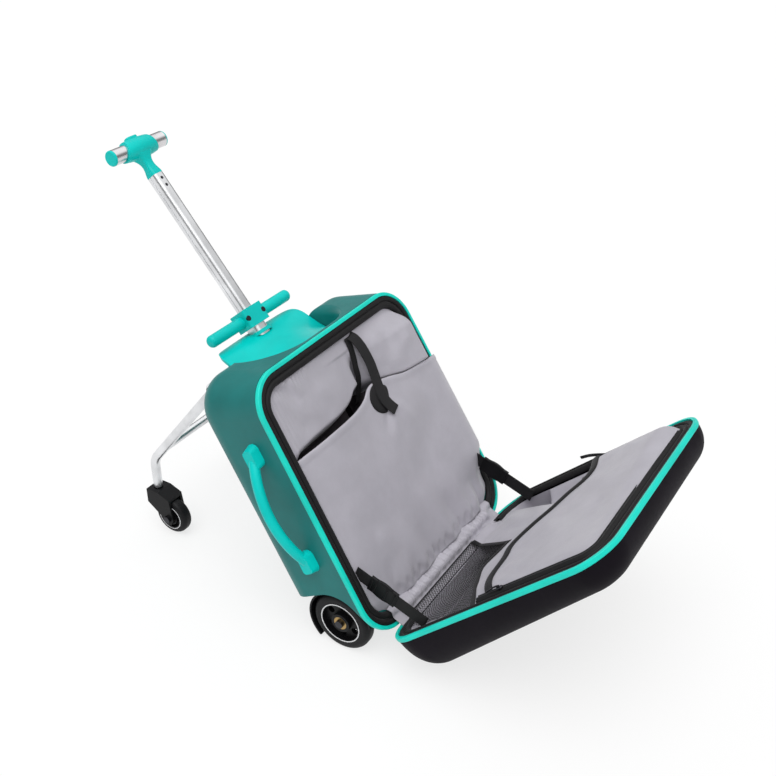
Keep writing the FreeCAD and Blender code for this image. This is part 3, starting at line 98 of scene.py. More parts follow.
def on_case(x, n, s):
    return placed(CASE_TILT, x, n, s)


def on_lid(x, n, s):
    return placed(LID_TURN, x, n, s)


# Materials.
DRIFT_SCALE = 18.0  # noise scale of the slow colour drift in moulded plastic
THREAD_WAVE = 0.5   # wave scale times pitch; the bands then repeat every 0.63 pitch


def linear(rgb):
    """A colour given in sRGB bytes, as linear values."""
    out = []
    for byte in rgb:
        v = byte / 255
        out.append(v / 12.92 if v <= 0.04045 else ((v + 0.055) / 1.055) ** 2.4)
    return (*out, 1.0)


def shade(rgb, factor):
    return linear([min(255, v * factor) for v in rgb])


class Nodes:
    """A node tree with short calls to add and join nodes."""

    def __init__(self, tree):
        self.tree = tree
        self.coords = self.add("ShaderNodeTexCoord")

    def add(self, kind, **values):
        """A new node; each value goes to the socket of that name, or else to the node itself."""
        node = self.tree.nodes.new(kind)
        for key, value in values.items():
            if key in node.inputs:
                node.inputs[key].default_value = value
            else:
                setattr(node, key, value)
        return node

    def join(self, output, socket):
        self.tree.links.new(output, socket)

    def math(self, operation, a, b):
        node = self.add("ShaderNodeMath", operation=operation)
        for i, value in enumerate((a, b)):
            if isinstance(value, (int, float)):
                node.inputs[i].default_value = value
            else:
                self.join(value, node.inputs[i])
        return node.outputs[0]


class Surface(Nodes):
    """A new material with its shader, and the textures that feed it."""

    def __init__(self, name):
        self.mat = bpy.data.materials.new(name)
        self.mat.use_nodes = True
        super().__init__(self.mat.node_tree)
        self.shader = self.tree.nodes["Principled BSDF"]

    def feed(self, name, value):
        """Sets a constant on the shader's own socket, or joins a node's output to it."""
        socket = self.shader.inputs[name]
        if isinstance(value, bpy.types.NodeSocket):
            self.join(value, socket)
        else:
            socket.default_value = value

    def noise(self, scale, detail=2.0, rough=0.5, stretch=None):
        node = self.add("ShaderNodeTexNoise", Scale=scale, Detail=detail, Roughness=rough)
        where = self.coords.outputs["Object"]
        if stretch:
            mapping = self.add("ShaderNodeMapping", Scale=stretch)
            self.join(where, mapping.inputs["Vector"])
            where = mapping.outputs["Vector"]
        self.join(where, node.inputs["Vector"])
        return node.outputs["Fac"]

    def wave(self, scale, direction):
        node = self.add("ShaderNodeTexWave", Scale=scale, Distortion=0.4, bands_direction=direction)
        self.join(self.coords.outputs["Object"], node.inputs["Vector"])
        return node.outputs["Fac"]

    def span(self, value, low, high):
        node = self.add("ShaderNodeMapRange", **{"To Min": low, "To Max": high})
        self.join(value, node.inputs["Value"])
        return node.outputs["Result"]

    def ramp(self, value, *stops):
        """A colour that runs between two stops, each a place and a colour."""
        node = self.add("ShaderNodeValToRGB")
        for i, (place, colour) in enumerate(stops):
            node.color_ramp.elements[i].position = place
            node.color_ramp.elements[i].color = colour
        self.join(value, node.inputs["Fac"])
        return node.outputs["Color"]

    def bump(self, height, strength, distance, under=None):
        node = self.add("ShaderNodeBump", Strength=strength, Distance=distance)
        self.join(height, node.inputs["Height"])
        if under is not None:
            self.join(under, node.inputs["Normal"])
        return node.outputs["Normal"]


def plain(name, rgb, rough, grain, depth, vary=0.06, metal=0.0, specular=0.5):
    """Moulded or painted surface: slight drift of colour and roughness, and a fine grain."""
    k = Surface(name)
    drift = k.noise(DRIFT_SCALE, 3.0)
    k.feed("Base Color", k.ramp(drift, (0.3, shade(rgb, 1 - vary)), (0.7, shade(rgb, 1 + vary))))
    k.feed("Roughness", k.span(k.noise(6 * DRIFT_SCALE, 3.0), rough - 0.05, rough + 0.05))
    k.feed("Metallic", metal)
    k.feed("Specular IOR Level", specular)
    k.feed("Normal", k.bump(k.noise(grain), 0.35, depth))
    return k.mat


def cloth(name, rgb, rough, pitch, depth, vary=0.05, sheen=0.2, crease=0.0):
    """Woven cloth: two crossed thread waves, soft sheen, a slow colour drift, and creases where asked for."""
    k = Surface(name)
    weave = k.math("MULTIPLY", k.wave(THREAD_WAVE / pitch, "X"), k.wave(THREAD_WAVE / pitch, "Y"))
    drift = k.noise(24.0, 4.0, 0.6)
    mixed = k.math("ADD", k.math("MULTIPLY", drift, 0.75), k.math("MULTIPLY", weave, 0.25))
    k.feed("Base Color", k.ramp(mixed, (0.25, shade(rgb, 1 - vary)), (0.7, shade(rgb, 1 + vary))))
    k.feed("Roughness", k.span(k.noise(130.0), rough - 0.06, rough + 0.06))
    k.feed("Sheen Weight", sheen)
    k.feed("Sheen Roughness", 0.45)
    k.feed("Specular IOR Level", 0.3)
    normal = k.bump(weave, 0.4, depth)
    if crease:
        normal = k.bump(k.noise(38.0, 4.0, 0.55, (1.0, 0.6, 0.6)), 0.5, crease, normal)
    k.feed("Normal", normal)
    return k.mat


def brushed(name, rgb, rough, stretch):
    """Drawn metal with fine lines along its length."""
    k = Surface(name)
    lines = k.noise(900.0, 2.0, 0.6, stretch)
    k.feed("Base Color", k.ramp(k.noise(30.0), (0.3, shade(rgb, 0.95)), (0.7, shade(rgb, 1.04))))
    k.feed("Roughness", k.span(lines, rough - 0.07, rough + 0.08))
    k.feed("Metallic", 1.0)
    k.feed("Normal", k.bump(lines, 0.12, 0.0002))
    return k.mat


TEAL = plain("teal_shell", (26, 116, 114), 0.44, 1500.0, 0.00012, 0.05, specular=0.32)
MINT = plain("mint_plastic", (0, 206, 199), 0.36, 1100.0, 0.00006, 0.03, specular=0.2)
PIPING = plain("mint_piping", (10, 222, 204), 0.45, 1600.0, 0.00015, 0.04, specular=0.35)
BLACK = plain("black_plastic", (17, 17, 19), 0.42, 1500.0, 0.0001, 0.1, specular=0.16)
COVER = plain("lid_skin", (20, 16, 23), 0.6, 2200.0, 0.0003, 0.1, specular=0.08)
TYRE = plain("black_tyre", (22, 22, 24), 0.5, 1200.0, 0.00012, 0.1, specular=0.18)
RING = plain("ring_white", (236, 236, 238), 0.4, 1500.0, 0.00005, 0.02)
ZIP_TEETH = plain("zip_teeth", (16, 16, 18), 0.32, 900.0, 0.0001, 0.12)
STEEL = plain("dark_steel", (62, 62, 66), 0.36, 1400.0, 0.00006, 0.08, metal=1.0)
BEARING = plain("bearing_steel", (168, 140, 92), 0.3, 1400.0, 0.00004, 0.06, metal=1.0)
SILVER = brushed("silver_tube", (226, 227, 229), 0.3, (1.0, 0.06, 0.06))
SLEEVE = brushed("grip_sleeve_metal", (214, 212, 214), 0.24, (0.06, 1.0, 1.0))
SATIN = cloth("satin_lining", (182, 179, 188), 0.46, 0.0009, 0.00008, 0.035, 0.35, crease=0.0016)
# Dark grey cloth: partly the pocket's own darker lining, partly painted shade of the slit behind the panel and
# painted shadow in the open zip pocket.
POCKET_DARK_AND_SHADE = cloth("pocket_inside_and_shade", (74, 68, 72), 0.6, 0.0009, 0.00008, 0.08, 0.1)
BLACK_CLOTH = cloth("black_webbing", (22, 21, 23), 0.7, 0.0016, 0.0004, 0.12, 0.05)
ZIP_TAPE = cloth("zip_tape", (15, 14, 16), 0.66, 0.0014, 0.0003, 0.14, 0.03)
NET = cloth("net_thread", (17, 16, 18), 0.6, 0.0008, 0.0001, 0.12, 0.05)
BINDING = cloth("binding_tape", (15, 14, 16), 0.65, 0.0012, 0.0002, 0.12, 0.06)

# The CAD nodes that show; those that aren't named here are black plastic.
FINISHES = (
    (TEAL, "shell"),
    (PIPING, "shell_piping lid_piping"),
    (MINT, "seat child_bar t_grip grip_caps carry_handle carry_handle_ends release_button"),
    (COVER, "lid_cover"),
    (SILVER, "outer_tube inner_tube leg_tube_left leg_tube_right crossbar"),
    (SLEEVE, "grip_sleeves"),
    (TYRE, "rear_tyre_left rear_tyre_right caster_tyre_left caster_tyre_right"),
    (STEEL, "rear_axle_bolts caster_axle_left caster_axle_right grip_screws child_bar_screws leg_pivot_shaft"),
    (BEARING, "rear_bearings_left rear_bearings_right caster_bearings_left caster_bearings_right"),
)
finish = {name: material for material, names in FINISHES for name in names.split()}
for name, node in nodes.items():
    node.data.materials.clear()
    node.data.materials.append(finish.get(name, BLACK))


# Helpers for curves and levels.
def ease(low, high, value):
    t = min(1.0, max(0.0, (value - low) / (high - low)))
    return t * t * (3 - 2 * t)


def rounded(t):
    """A round rise from 0 at t = 0 to 1 at t = 1, where it stays."""
    return 1 - (1 - min(1.0, t)) ** 2


def line_through(points):
    """A smooth function of x through the given points."""
    points = sorted(points)
    xs = [p[0] for p in points]
    ys = [p[1] for p in points]
    slopes = []
    for i in range(len(xs)):
        a, b = max(0, i - 1), min(len(xs) - 1, i + 1)
        slopes.append((ys[b] - ys[a]) / (xs[b] - xs[a]))

    def value(x):
        if x <= xs[0]:
            return ys[0] + slopes[0] * (x - xs[0])
        if x >= xs[-1]:
            return ys[-1] + slopes[-1] * (x - xs[-1])
        i = max(k for k in range(len(xs) - 1) if xs[k] <= x)
        w = xs[i + 1] - xs[i]
        t = (x - xs[i]) / w
        return (ys[i] * (2 * t ** 3 - 3 * t ** 2 + 1) + slopes[i] * w * (t ** 3 - 2 * t ** 2 + t)
                + ys[i + 1] * (3 * t ** 2 - 2 * t ** 3) + slopes[i + 1] * w * (t ** 3 - t ** 2))

    return value


def spline_point(points, i, t):
    """A smooth curve through the points, at the share t of the stretch after point i."""
    p0, p1 = points[max(0, i - 1)], points[i]
    p2, p3 = points[i + 1], points[min(len(points) - 1, i + 2)]
    return 0.5 * ((2 * p1) + (p2 - p0) * t + (2 * p0 - 5 * p1 + 4 * p2 - p3) * t * t
                  + (3 * p1 - p0 - 3 * p2 + p3) * t ** 3)


def curve_through(points, count, steps=24):
    """Evenly shared points on the smooth curve through the given ones."""
    dense = [spline_point(points, i, k / steps) for i in range(len(points) - 1) for k in range(steps)]
    dense.append(points[-1])
    runs = [0.0]
    for a, b in zip(dense, dense[1:]):
        runs.append(runs[-1] + (b - a).length)
    out = []
    for i in range(count):
        want = runs[-1] * i / (count - 1)
        k = min(len(dense) - 2, int(np.searchsorted(runs, want, side="right")) - 1)
        t = (want - runs[k]) / max(1e-9, runs[k + 1] - runs[k])
        out.append(dense[k].lerp(dense[k + 1], min(1.0, t)))
    return out


def path_direction(path, i):
    return (path[min(i + 1, len(path) - 1)] - path[max(i - 1, 0)]).normalized()


def ridge(x, s, x0, s0, x1, s1, width, height):
    """A rounded fold along the line between two points, which widens and fades towards the second."""
    dx, ds = x1 - x0, s1 - s0
    t = min(1.0, max(0.0, ((x - x0) * dx + (s - s0) * ds) / (dx * dx + ds * ds)))
    gap = (x - x0 - t * dx) ** 2 + (s - s0 - t * ds) ** 2
    spread = width * (1 + 0.8 * t)
    return height * (1 - t * t) * math.exp(-gap / (spread * spread))


def folded(x, s, folds):
    return sum(ridge(x, s, *fold) for fold in folds)


# Helpers for meshes. Lengths are in millimetres, points in metres.
INWARD, CENTRED, OUTWARD = -1.0, 0.0, 1.0  # the side of a sheet that its thickness goes to


def piece(name, verts, faces, material, body, slot):
    mesh = bpy.data.meshes.new(name)
    mesh.from_pydata([tuple(v) for v in verts], [], faces)
    mesh.polygons.foreach_set("use_smooth", [True] * len(mesh.polygons))
    mesh.update()
    obj = bpy.data.objects.new(name, mesh)
    scene.collection.objects.link(obj)
    mesh.materials.append(material)
    if body:
        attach(obj, body)
    return obj


def net_rows(point, high, wide):
    """Rows of points of a surface; u runs from 0 to 1 along a row, v from 0 to 1 over the rows."""
    return [[point(u, v) for u in np.linspace(0, 1, wide)] for v in np.linspace(0, 1, high)]


def grid(rows):
    """Vertices and faces of a net of rows."""
    wide = len(rows[0])
    faces = []
    for i in range(len(rows) - 1):
        a, b = i * wide, (i + 1) * wide
        for j in range(wide - 1):
            faces.append((a + j, a + j + 1, b + j + 1, b + j))
    return [p for row in rows for p in row], faces


def capped(rows):
    """Vertices and faces of a tube of rings, each ending where it starts, with its two ends closed."""
    verts, faces = grid(rows)
    sides = len(rows[0]) - 1
    last = (len(rows) - 1) * (sides + 1)
    return verts, faces + [tuple(reversed(range(sides))), tuple(last + k for k in range(sides))]


def turned(faces):
    """The same faces, looking the other way."""
    return [face[::-1] for face in faces]


def thickened(obj, thickness, offset):
    """Gives a sheet its thickness and applies it, so that the mesh is final."""
    mod = obj.modifiers.new("thickness", "SOLIDIFY")
    mod.thickness = thickness * MM
    mod.offset = offset
    bpy.context.view_layer.update()
    graph = bpy.context.evaluated_depsgraph_get()
    mesh = bpy.data.meshes.new_from_object(obj.evaluated_get(graph))
    obj.modifiers.clear()
    obj.data = mesh


def cloth_piece(name, rows, material, body, slot, thickness, offset):
    """A piece of cloth, and its area in square metres before it gets its thickness."""
    obj = piece(name, *grid(rows), material, body, slot)
    area = sum(face.area for face in obj.data.polygons)
    thickened(obj, thickness, offset)
    return obj, area


def ribbon(name, path, across, width, thick, material, body, slot):
    """Flat webbing with rounded edges along a path; across is the direction of its width."""
    half_w, half_t = width * MM / 2, thick * MM / 2
    profile = []
    for a in np.linspace(0, CIRCLE, 17):
        c, t = math.cos(a), math.sin(a)
        profile.append((math.copysign(abs(c) ** 0.25, c) * half_w, math.copysign(abs(t) ** 0.6, t) * half_t))
    rows = []
    for i, p in enumerate(path):
        along = path_direction(path, i)
        side = (across - along * across.dot(along)).normalized()
        up = along.cross(side)
        rows.append([p + side * u + up * v for u, v in profile])
    return piece(name, *capped(rows), material, body, slot)


def cord_tube(name, path, radius, material, body, slot, flat, normal, sides):
    """A bead along a path; flat is its height along the normal over its width."""
    r = radius * MM
    rows = []
    for i, p in enumerate(path):
        along = path_direction(path, i)
        side = along.cross(normal).normalized()
        up = side.cross(along)
        rows.append([p + side * (r * math.cos(a)) + up * (r * flat * math.sin(a))
                     for a in np.linspace(0, CIRCLE, sides + 1)])
    verts, faces = capped(rows)
    return piece(name, verts, turned(faces), material, body, slot)


# The rim's outline: sides that lean in towards the top, and four round corners.
RIM_LENGTH = 433.0   # from the hinge's axis to the far edge
HALF_LOW = 208.0     # half the width at the hinge
HALF_TOP = 196.0     # half the width at the far edge
CORNER = 58.0        # radius of the corners
HINGE_GAP = 2.0      # from the hinge's axis to the near edge
HINGE_REACH = 138.0  # where the zips end beside the hinge


def half(s):
    return HALF_LOW + (HALF_TOP - HALF_LOW) * s / RIM_LENGTH


def side_at(s, inset):
    """Half the width of the outline at an inset, with its round corners."""
    r = CORNER - inset
    low, high = HINGE_GAP + CORNER, RIM_LENGTH - CORNER
    for centre, out in ((low, s < low), (high, s > high)):
        if out:
            return half(centre) - CORNER + math.sqrt(max(0.0, r * r - (s - centre) ** 2))
    return half(s) - inset


def rim_points(inset, fine):
    """x and s along the rim from the hinge's left to its right, 94 times fine plus one for every inset."""
    r = CORNER - inset
    low, high = HINGE_GAP + CORNER, RIM_LENGTH - CORNER
    cl, ch = half(low) - CORNER, half(high) - CORNER
    pts = []

    def run(a, b, count):
        for i in range(count):
            t = i / count
            pts.append((a[0] + (b[0] - a[0]) * t, a[1] + (b[1] - a[1]) * t))

    def arc(x, s, a0, a1, count):
        for i in range(count):
            a = math.radians(a0 + (a1 - a0) * i / count)
            pts.append((x + r * math.cos(a), s + r * math.sin(a)))

    run((HINGE_REACH, low - r), (cl, low - r), 2 * fine)
    arc(cl, low, -90, 0, 8 * fine)
    run((cl + r, low), (ch + r, high), 20 * fine)
    arc(ch, high, 0, 90, 8 * fine)
    run((ch, high + r), (-ch, high + r), 18 * fine)
    arc(-ch, high, 90, 180, 8 * fine)
    run((-ch - r, high), (-cl - r, low), 20 * fine)
    arc(-cl, low, 180, 270, 8 * fine)
    run((-cl, low - r), (-HINGE_REACH, low - r), 2 * fine)
    pts.append((-HINGE_REACH, low - r))
    return pts


def rim_run(where, ring, i):
    """The rim's direction at point i of a ring, on the case or on the lid."""
    (x0, s0), (x1, s1) = ring[i], ring[i + 2]
    return (where(x1, 0, s1) - where(x0, 0, s0)).normalized()


# The rims' zips.
ZIP_PROFILE = (  # inset and depth
    (4.6, 4.6), (5.6, 2.6), (8.0, 1.6), (10.6, 1.8), (12.2, 3.0), (12.8, 4.8), (13.4, 5.4), (14.6, 5.4),
    (15.2, 4.6), (15.8, 3.0), (17.6, 2.0), (20.2, 1.9), (22.4, 2.8), (23.8, 4.6), (24.6, 7.4))
TAPE_THICKNESS = 0.8
COIL_INSET, COIL_DEPTH = 14.0, 5.0
TOOTH_PITCH = 2.3
TOOTH_BASE, TOOTH_TOP = (1.5, 0.75, 0.0), (1.1, 0.45, 1.1)  # half width, half length, height
TOOTH_FACES = ((4, 5, 6, 7), (0, 1, 5, 4), (1, 2, 6, 5), (2, 3, 7, 6), (3, 0, 4, 7))
SLIDER_HALF = (5.6, 3.9, 2.3)  # half its length, width and height
SLIDER_DEPTH = 5.4


def tape_lift(body, x, s):
    """How far a tape stands up; the lid's does so along the far side of the rim."""
    if body != "lid":
        return 0.0
    return 7.0 * ease(-150, -184, x) * ease(26, 72, s) * ease(372, 330, s)


def zip_band(name, where, sign, body, node):
    """Zip tape with a folded edge round the rim, and its coil of teeth."""
    rows = []
    for inset, n in ZIP_PROFILE:
        held = ease(4.6, 9.0, inset) * (1 - 0.5 * ease(15, 24.6, inset))
        rows.append([where(x, -sign * (n - held * tape_lift(body, x, s)), s) for x, s in rim_points(inset, 4)])
    tape = piece(name, *grid(rows), ZIP_TAPE, body, "black_fabric")
    thickened(tape, TAPE_THICKNESS, INWARD)
    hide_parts(node)
    spine = [where(x, -sign * (COIL_DEPTH - tape_lift(body, x, s)), s) for x, s in rim_points(COIL_INSET, 30)]
    up = (where(0, 0, 0) - where(0, -sign, 0)).normalized()
    verts, faces = [], []
    gone = 0.0
    for a, b in zip(spine, spine[1:]):
        gone += (b - a).length
        if gone < TOOTH_PITCH * MM:
            continue
        gone = 0.0
        along = (b - a).normalized()
        side = along.cross(up)
        faces += [tuple(len(verts) + k for k in face) for face in TOOTH_FACES]
        for half_w, half_l, height in (TOOTH_BASE, TOOTH_TOP):
            for u, w in ((-1, -1), (1, -1), (1, 1), (-1, 1)):
                verts.append(b + side * (u * half_w * MM) + along * (w * half_l * MM) + up * (height * MM))
    teeth = piece(name + "_teeth", verts, faces, ZIP_TEETH, body, "black_plastic")
    return tape, teeth


def slider(name, place, along, up, body, pull):
    """A zip slider with its pull tab; along is the zip's run, pull the way along it that the tab lies."""
    side = along.cross(up).normalized()
    length, width, height = SLIDER_HALF
    rows = []
    for t in np.linspace(-1, 1, 15):
        swell = math.sqrt(max(0.0, 1 - t ** 4)) + 0.02
        rows.append([place + along * (length * t * MM) + side * (width * swell * math.cos(a) * MM)
                     + up * (height * swell * math.sin(a) * MM) for a in np.linspace(0, CIRCLE, 21)])
    verts, faces = capped(rows)
    piece(name, verts, turned(faces), STEEL, body, "dark_steel")
    path = [place + up * (2.6 * MM) + pull * (k * MM) + up * (0.9 * math.sin(k * 0.2) * MM)
            for k in range(0, 25, 2)]
    ribbon(name + "_pull", path, side, 4.6, 1.5, BLACK, body, "black_plastic")


zip_band("case_zip", on_case, 1, "case", "shell_zip_tape")
for soft in zip_band("lid_zip", on_lid, -1, "lid", "lid_zip_tape"):
    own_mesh(soft)

coil_ring = rim_points(COIL_INSET, 8)
for tag, i, way in (("a", -44, 1), ("b", -64, -1)):
    run = rim_run(on_case, coil_ring, i)
    place = on_case(coil_ring[i][0], -SLIDER_DEPTH, coil_ring[i][1])
    slider("zip_slider_" + tag, place, run, CASE_NORMAL, "case", way * run)

# The case's inside: the large pocket panel, the lining's two lobes behind it, and the strap.
LINING_END = 408.0  # s of the linings' far edge, at the zip
NET_HALF = 183.0    # half the width that the nets of the linings and of the zip pocket are laid out on
PANEL_TOP = line_through([
    (205, 299), (166, 300), (122, 302), (79, 303), (42, 305), (13, 311), (-7, 321), (-25, 323),
    (-67, 315), (-104, 305), (-143, 301), (-205, 296)])
PANEL_LOW = HINGE_GAP + 26.0
PANEL_HALF = half(290.0)
PANEL_EDGE = 25.5   # inset of its sides
PANEL_LAP = 18.5    # how far its upper right side laps over the zip
PANEL_FOLDS = [     # from x and s to x and s, width and height
    (-160, 30, -158, 104, 6.5, 6.0), (-144, 28, -137, 96, 6.0, -5.6), (-126, 26, -124, 84, 7.0, 4.6),
    (-104, 28, -86, 126, 10.0, 4.4), (-74, 28, -56, 104, 9.0, -3.8), (-38, 28, -18, 150, 13.0, 4.0),
    (8, 28, 26, 100, 10.0, -3.4), (46, 30, 62, 140, 11.0, 3.6), (94, 30, 84, 88, 8.0, 3.6),
    (130, 32, 114, 96, 8.0, -3.4), (-64, 258, 74, 150, 32.0, 4.6), (-124, 214, -20, 118, 26.0, -4.4),
    (124, 254, 60, 186, 28.0, 3.2), (-40, 268, -26, 226, 7.0, 3.0), (-28, 268, -6, 238, 6.0, -2.6),
    (-58, 268, -72, 228, 8.0, 2.6), (-112, 296, -150, 236, 18.0, -3.4), (152, 286, 120, 198, 14.0, -3.0),
    (100, 120, 60, 60, 16.0, 3.0),
]
LOBE_FOLDS = [
    (150, 390, 128, 352, 7.0, 2.6), (132, 398, 110, 362, 6.0, -2.4), (112, 402, 98, 372, 6.0, 2.2),
    (60, 360, 10, 330, 16.0, 3.0), (120, 330, 60, 310, 14.0, -3.0), (-90, 380, -84, 330, 9.0, 3.4),
    (-110, 372, -104, 330, 8.0, -3.0), (-140, 350, -90, 322, 10.0, 2.6), (-160, 380, -150, 330, 9.0, 2.0),
]
LOBE_START = 408.2  # s of the first row
LOBE_DEPTH = 62.0   # how far the last row lies below the panel's top
LOBE_END = 60       # row where the pale lining ends and the darker inside of the pocket starts, darker also as painted shade of the slit


def panel_level(x, s, u, over):
    """How far the panel stands out: swollen, gathered at the hinge, folded, and tucked in at its right side."""
    tuck = 0.74 + 0.26 * rounded((1 - u) / 0.07)
    rise_right = rounded((1 - u) / 0.16) * (1 - over) + over * tuck
    n = -7.6 + 10.5 * rounded(u / 0.3) * rise_right + 10.5 * over * ease(0.5, 0.97, u) * rise_right
    low = 1 - ease(PANEL_LOW, PANEL_LOW + 26, s)
    n -= 4.0 * low
    gathers = math.sin(x * 0.30 + 1.3 * math.sin(x * 0.071)) * ease(0, 0.12, u) * ease(0, 0.12, 1 - u)
    n += low * (1 - low) * 7.0 * gathers
    return n + folded(x, s, PANEL_FOLDS) * ease(0, 0.1, u) * ease(0, 0.1, 1 - u)


def panel_point(u, v):
    """A point of the panel, from the left rim to the right one and from the hinge up."""
    s = PANEL_LOW + (PANEL_TOP(PANEL_HALF * (1 - 2 * u)) - PANEL_LOW) * v
    over = ease(62, 128, s)
    left = side_at(s, PANEL_EDGE)
    right = -side_at(s, PANEL_EDGE - PANEL_LAP * over)
    x = left + (right - left) * u
    gape = 4.0 * ease(0.80, 1.0, v) * ease(0.04, 0.2, u) * ease(0.02, 0.3, 0.58 - u)
    hem = ease(0.962, 0.972, v) * (1 - ease(0.99, 1.0, v))
    return on_case(x, panel_level(x, s, u, over) + gape + hem, s)


def lobe_level(x, s):
    """The lining behind the panel: two puffed lobes with a valley between them, plunging behind the panel."""
    edge_gap = max(0.0, min(LINING_END - s, side_at(s, PANEL_EDGE) - abs(x)))
    above = s - PANEL_TOP(x)
    puff = -7.0 - 2.0 * rounded(edge_gap / 55.0)
    left = puff - 3.0 * ease(60, -30, x)
    left -= 50.0 * (1 - ease(-17, 11, above)) * ease(0, 40, 182 - x)
    bulge = ease(-38, -150, x) * ease(405, 365, s) * rounded(edge_gap / 6.0)
    right = puff + 26.0 * bulge - 34.0 * (1 - ease(-9, 4, above)) * ease(-30, -60, x)
    right -= 50.0 * (1 - ease(-12, 10, above)) * ease(-60, -30, x)
    split = ease(-36, -24, x)
    n = left * split + right * (1 - split)
    n -= 24.0 * math.exp(-((x + 35.0) / 10.0) ** 2) * ease(384, 342, s)
    n = max(n, -8.6 - 75.0 * ease(388, 356, s))
    n += folded(x, s, LOBE_FOLDS) * ease(0, 12, edge_gap)
    pucker = math.sin(x * 0.62 + 2 * math.sin(x * 0.13)) * math.exp(-edge_gap / 11.0) * ease(0.5, 4, edge_gap)
    return n + 3.4 * pucker * ease(40, 120, x)


def lobe_point(u, v):
    s = LOBE_START + (PANEL_TOP(NET_HALF * (1 - 2 * u)) - LOBE_DEPTH - LOBE_START) * v
    x = side_at(s, 24.8) * (1 - 2 * u)
    return on_case(x, lobe_level(x, s), s)


panel, panel_area = cloth_piece(
    "pocket_front", net_rows(panel_point, 96, 104), SATIN, "case", "grey_fabric", 1.6, OUTWARD)
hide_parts("pocket_panel")

lobe_rows = net_rows(lobe_point, 92, 140)
lobes, lobes_area = cloth_piece(
    "case_lining", lobe_rows[:LOBE_END + 1], SATIN, "case", "grey_fabric", 0.8, OUTWARD)
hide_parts("shell_lining")
# Below that row the lining is the pocket's darker inside, deepened as painted shade of the slit behind the
# panel's top.
pocket_back, back_area = cloth_piece(
    "pocket_back", lobe_rows[LOBE_END:], POCKET_DARK_AND_SHADE, "case", "black_fabric", 0.8, OUTWARD)


def over_panel(x, s, lift):
    """How far something stands out that lies on the panel's upper part with a lift."""
    return panel_level(x, s, (PANEL_HALF - x) / (2 * PANEL_HALF), ease(105, 185, s)) + lift


strap_path = curve_through([
    on_case(-45, -6, 405), on_case(-48, -1, 396), on_case(-49, 3, 379), on_case(-48, 5, 354),
    on_case(-44, 6, 335), on_case(-39, over_panel(-39, 316, 3.0), 318),
    on_case(-35, over_panel(-35, 298, 4.0), 298), on_case(-38, over_panel(-38, 282, 4.2), 282),
    on_case(-43, over_panel(-43, 268, 3.6), 267)], 60)
strap = ribbon("divider_webbing", strap_path, SIDEWAYS, 22.0, 1.6, BLACK_CLOTH, "case", "black_fabric")
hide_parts("divider_strap")

PATCH_X, PATCH_S = -32, 296
PATCH_PROFILE = ((24.5, -1.5), (25.0, 0.6), (24.2, 1.5), (18.0, 2.0), (0.4, 2.2))  # radius and height
patch_base = over_panel(PATCH_X, PATCH_S, 1.2)
patch_rows = [[on_case(PATCH_X + r * math.cos(a), patch_base + h, PATCH_S + r * math.sin(a))
               for a in np.linspace(0, CIRCLE, 49)] for r, h in PATCH_PROFILE]
verts, faces = grid(patch_rows)
patch = piece("strap_patch", verts, turned(faces), BLACK_CLOTH, "case", "black_fabric")

# A dark webbing in the valley between the lobes; its dark band is partly a strap and partly painted shade of the
# slit there.
valley_path = curve_through([
    on_case(-37, -6, 404), on_case(-37, -7.2, 388), on_case(-37, -11.5, 370), on_case(-36, -16, 355),
    on_case(-36, -21, 338), on_case(-35, -29, 322), on_case(-34, -46, 298)], 30)
ribbon("valley_webbing_and_shade", valley_path, SIDEWAYS, 13.0, 1.4, BLACK_CLOTH, "case", "black_fabric")

# The lid's inside: lining, net pocket with its band, slip pocket, and the puffed zip pocket.
NET_SIDE = line_through([(14, -65), (46, -49), (131, -14), (168, -20), (204, -5)])
NET_TOP = line_through([(-23, 123), (2, 116), (42, 106), (81, 120), (151, 160), (186, 182)])
BAND_TOP = line_through([(-21, 186), (4, 172), (70, 161), (108, 165), (172, 207), (188, 220)])
POCKET_EDGE = line_through([
    (186, 224), (172, 215), (125, 189), (70, 183), (36, 178), (0, 200), (-28, 228), (-54, 248),
    (-75, 270), (-100, 275), (-140, 262), (-184, 248)])
SLIP_SIDE = line_through([(20, -180), (38, -172), (61, -159), (142, -122), (221, -78), (262, -62)])
TUB_EDGE = 24.6             # inset of the lining's sides
TUB_LOW, TUB_SPAN = 27.2, 380.6
NET_LOW = 8.5               # s where the net and the slip pocket start, at the hinge
NET_WIDE, NET_TALL, NET_PITCH = 206.0, 118.0, 5.4
NET_STEPS = 30
THREAD = ((-0.5, 0.0), (0.0, 0.35), (0.5, 0.0), (0.0, -0.35))  # section of a thread
POCKET_SIDE = 24.8          # inset of the zip pocket's sides
POCKET_END = 407.6
POCKET_FOLDS = [
    (30, 250, 110, 330, 16, -2.4), (-20, 260, 60, 300, 12, 2.2), (-60, 290, -10, 370, 14, -2.2),
    (140, 250, 165, 300, 9, 2.4), (60, 210, 90, 260, 8, 2.0), (110, 215, 130, 262, 8, -2.0),
    (-110, 300, -60, 330, 14, 2.0), (20, 340, 120, 370, 12, 2.0), (-130, 330, -100, 380, 9, -1.8),
]
POCKET_COLUMNS = 110
WALL_PROFILE = (            # how far the pocket's wall falls into the lid and goes back under the pocket
    (0.6, 1.0), (4.0, 2.2), (9.0, 2.6), (14.0, -2.0), (17.0, -14.0), (18.0, -30.0), (18.5, -46.0))


def tub_level(x, s):
    """How deep the lid's lining lies, without its hollows."""
    gap = max(0.0, min(side_at(s, TUB_EDGE) - abs(x), 2.2 * (s - 27.0), LINING_END - s))
    shallow = max(ease(-20, -90, x), ease(135, 95, s))
    n = 7.0 + (34.0 - 17.0 * shallow) * ease(0, 22.0, gap)
    return n + ridge(x, s, -150, 120, -110, 220, 14, 1.6) + ridge(x, s, -165, 80, -140, 150, 9, -1.4)


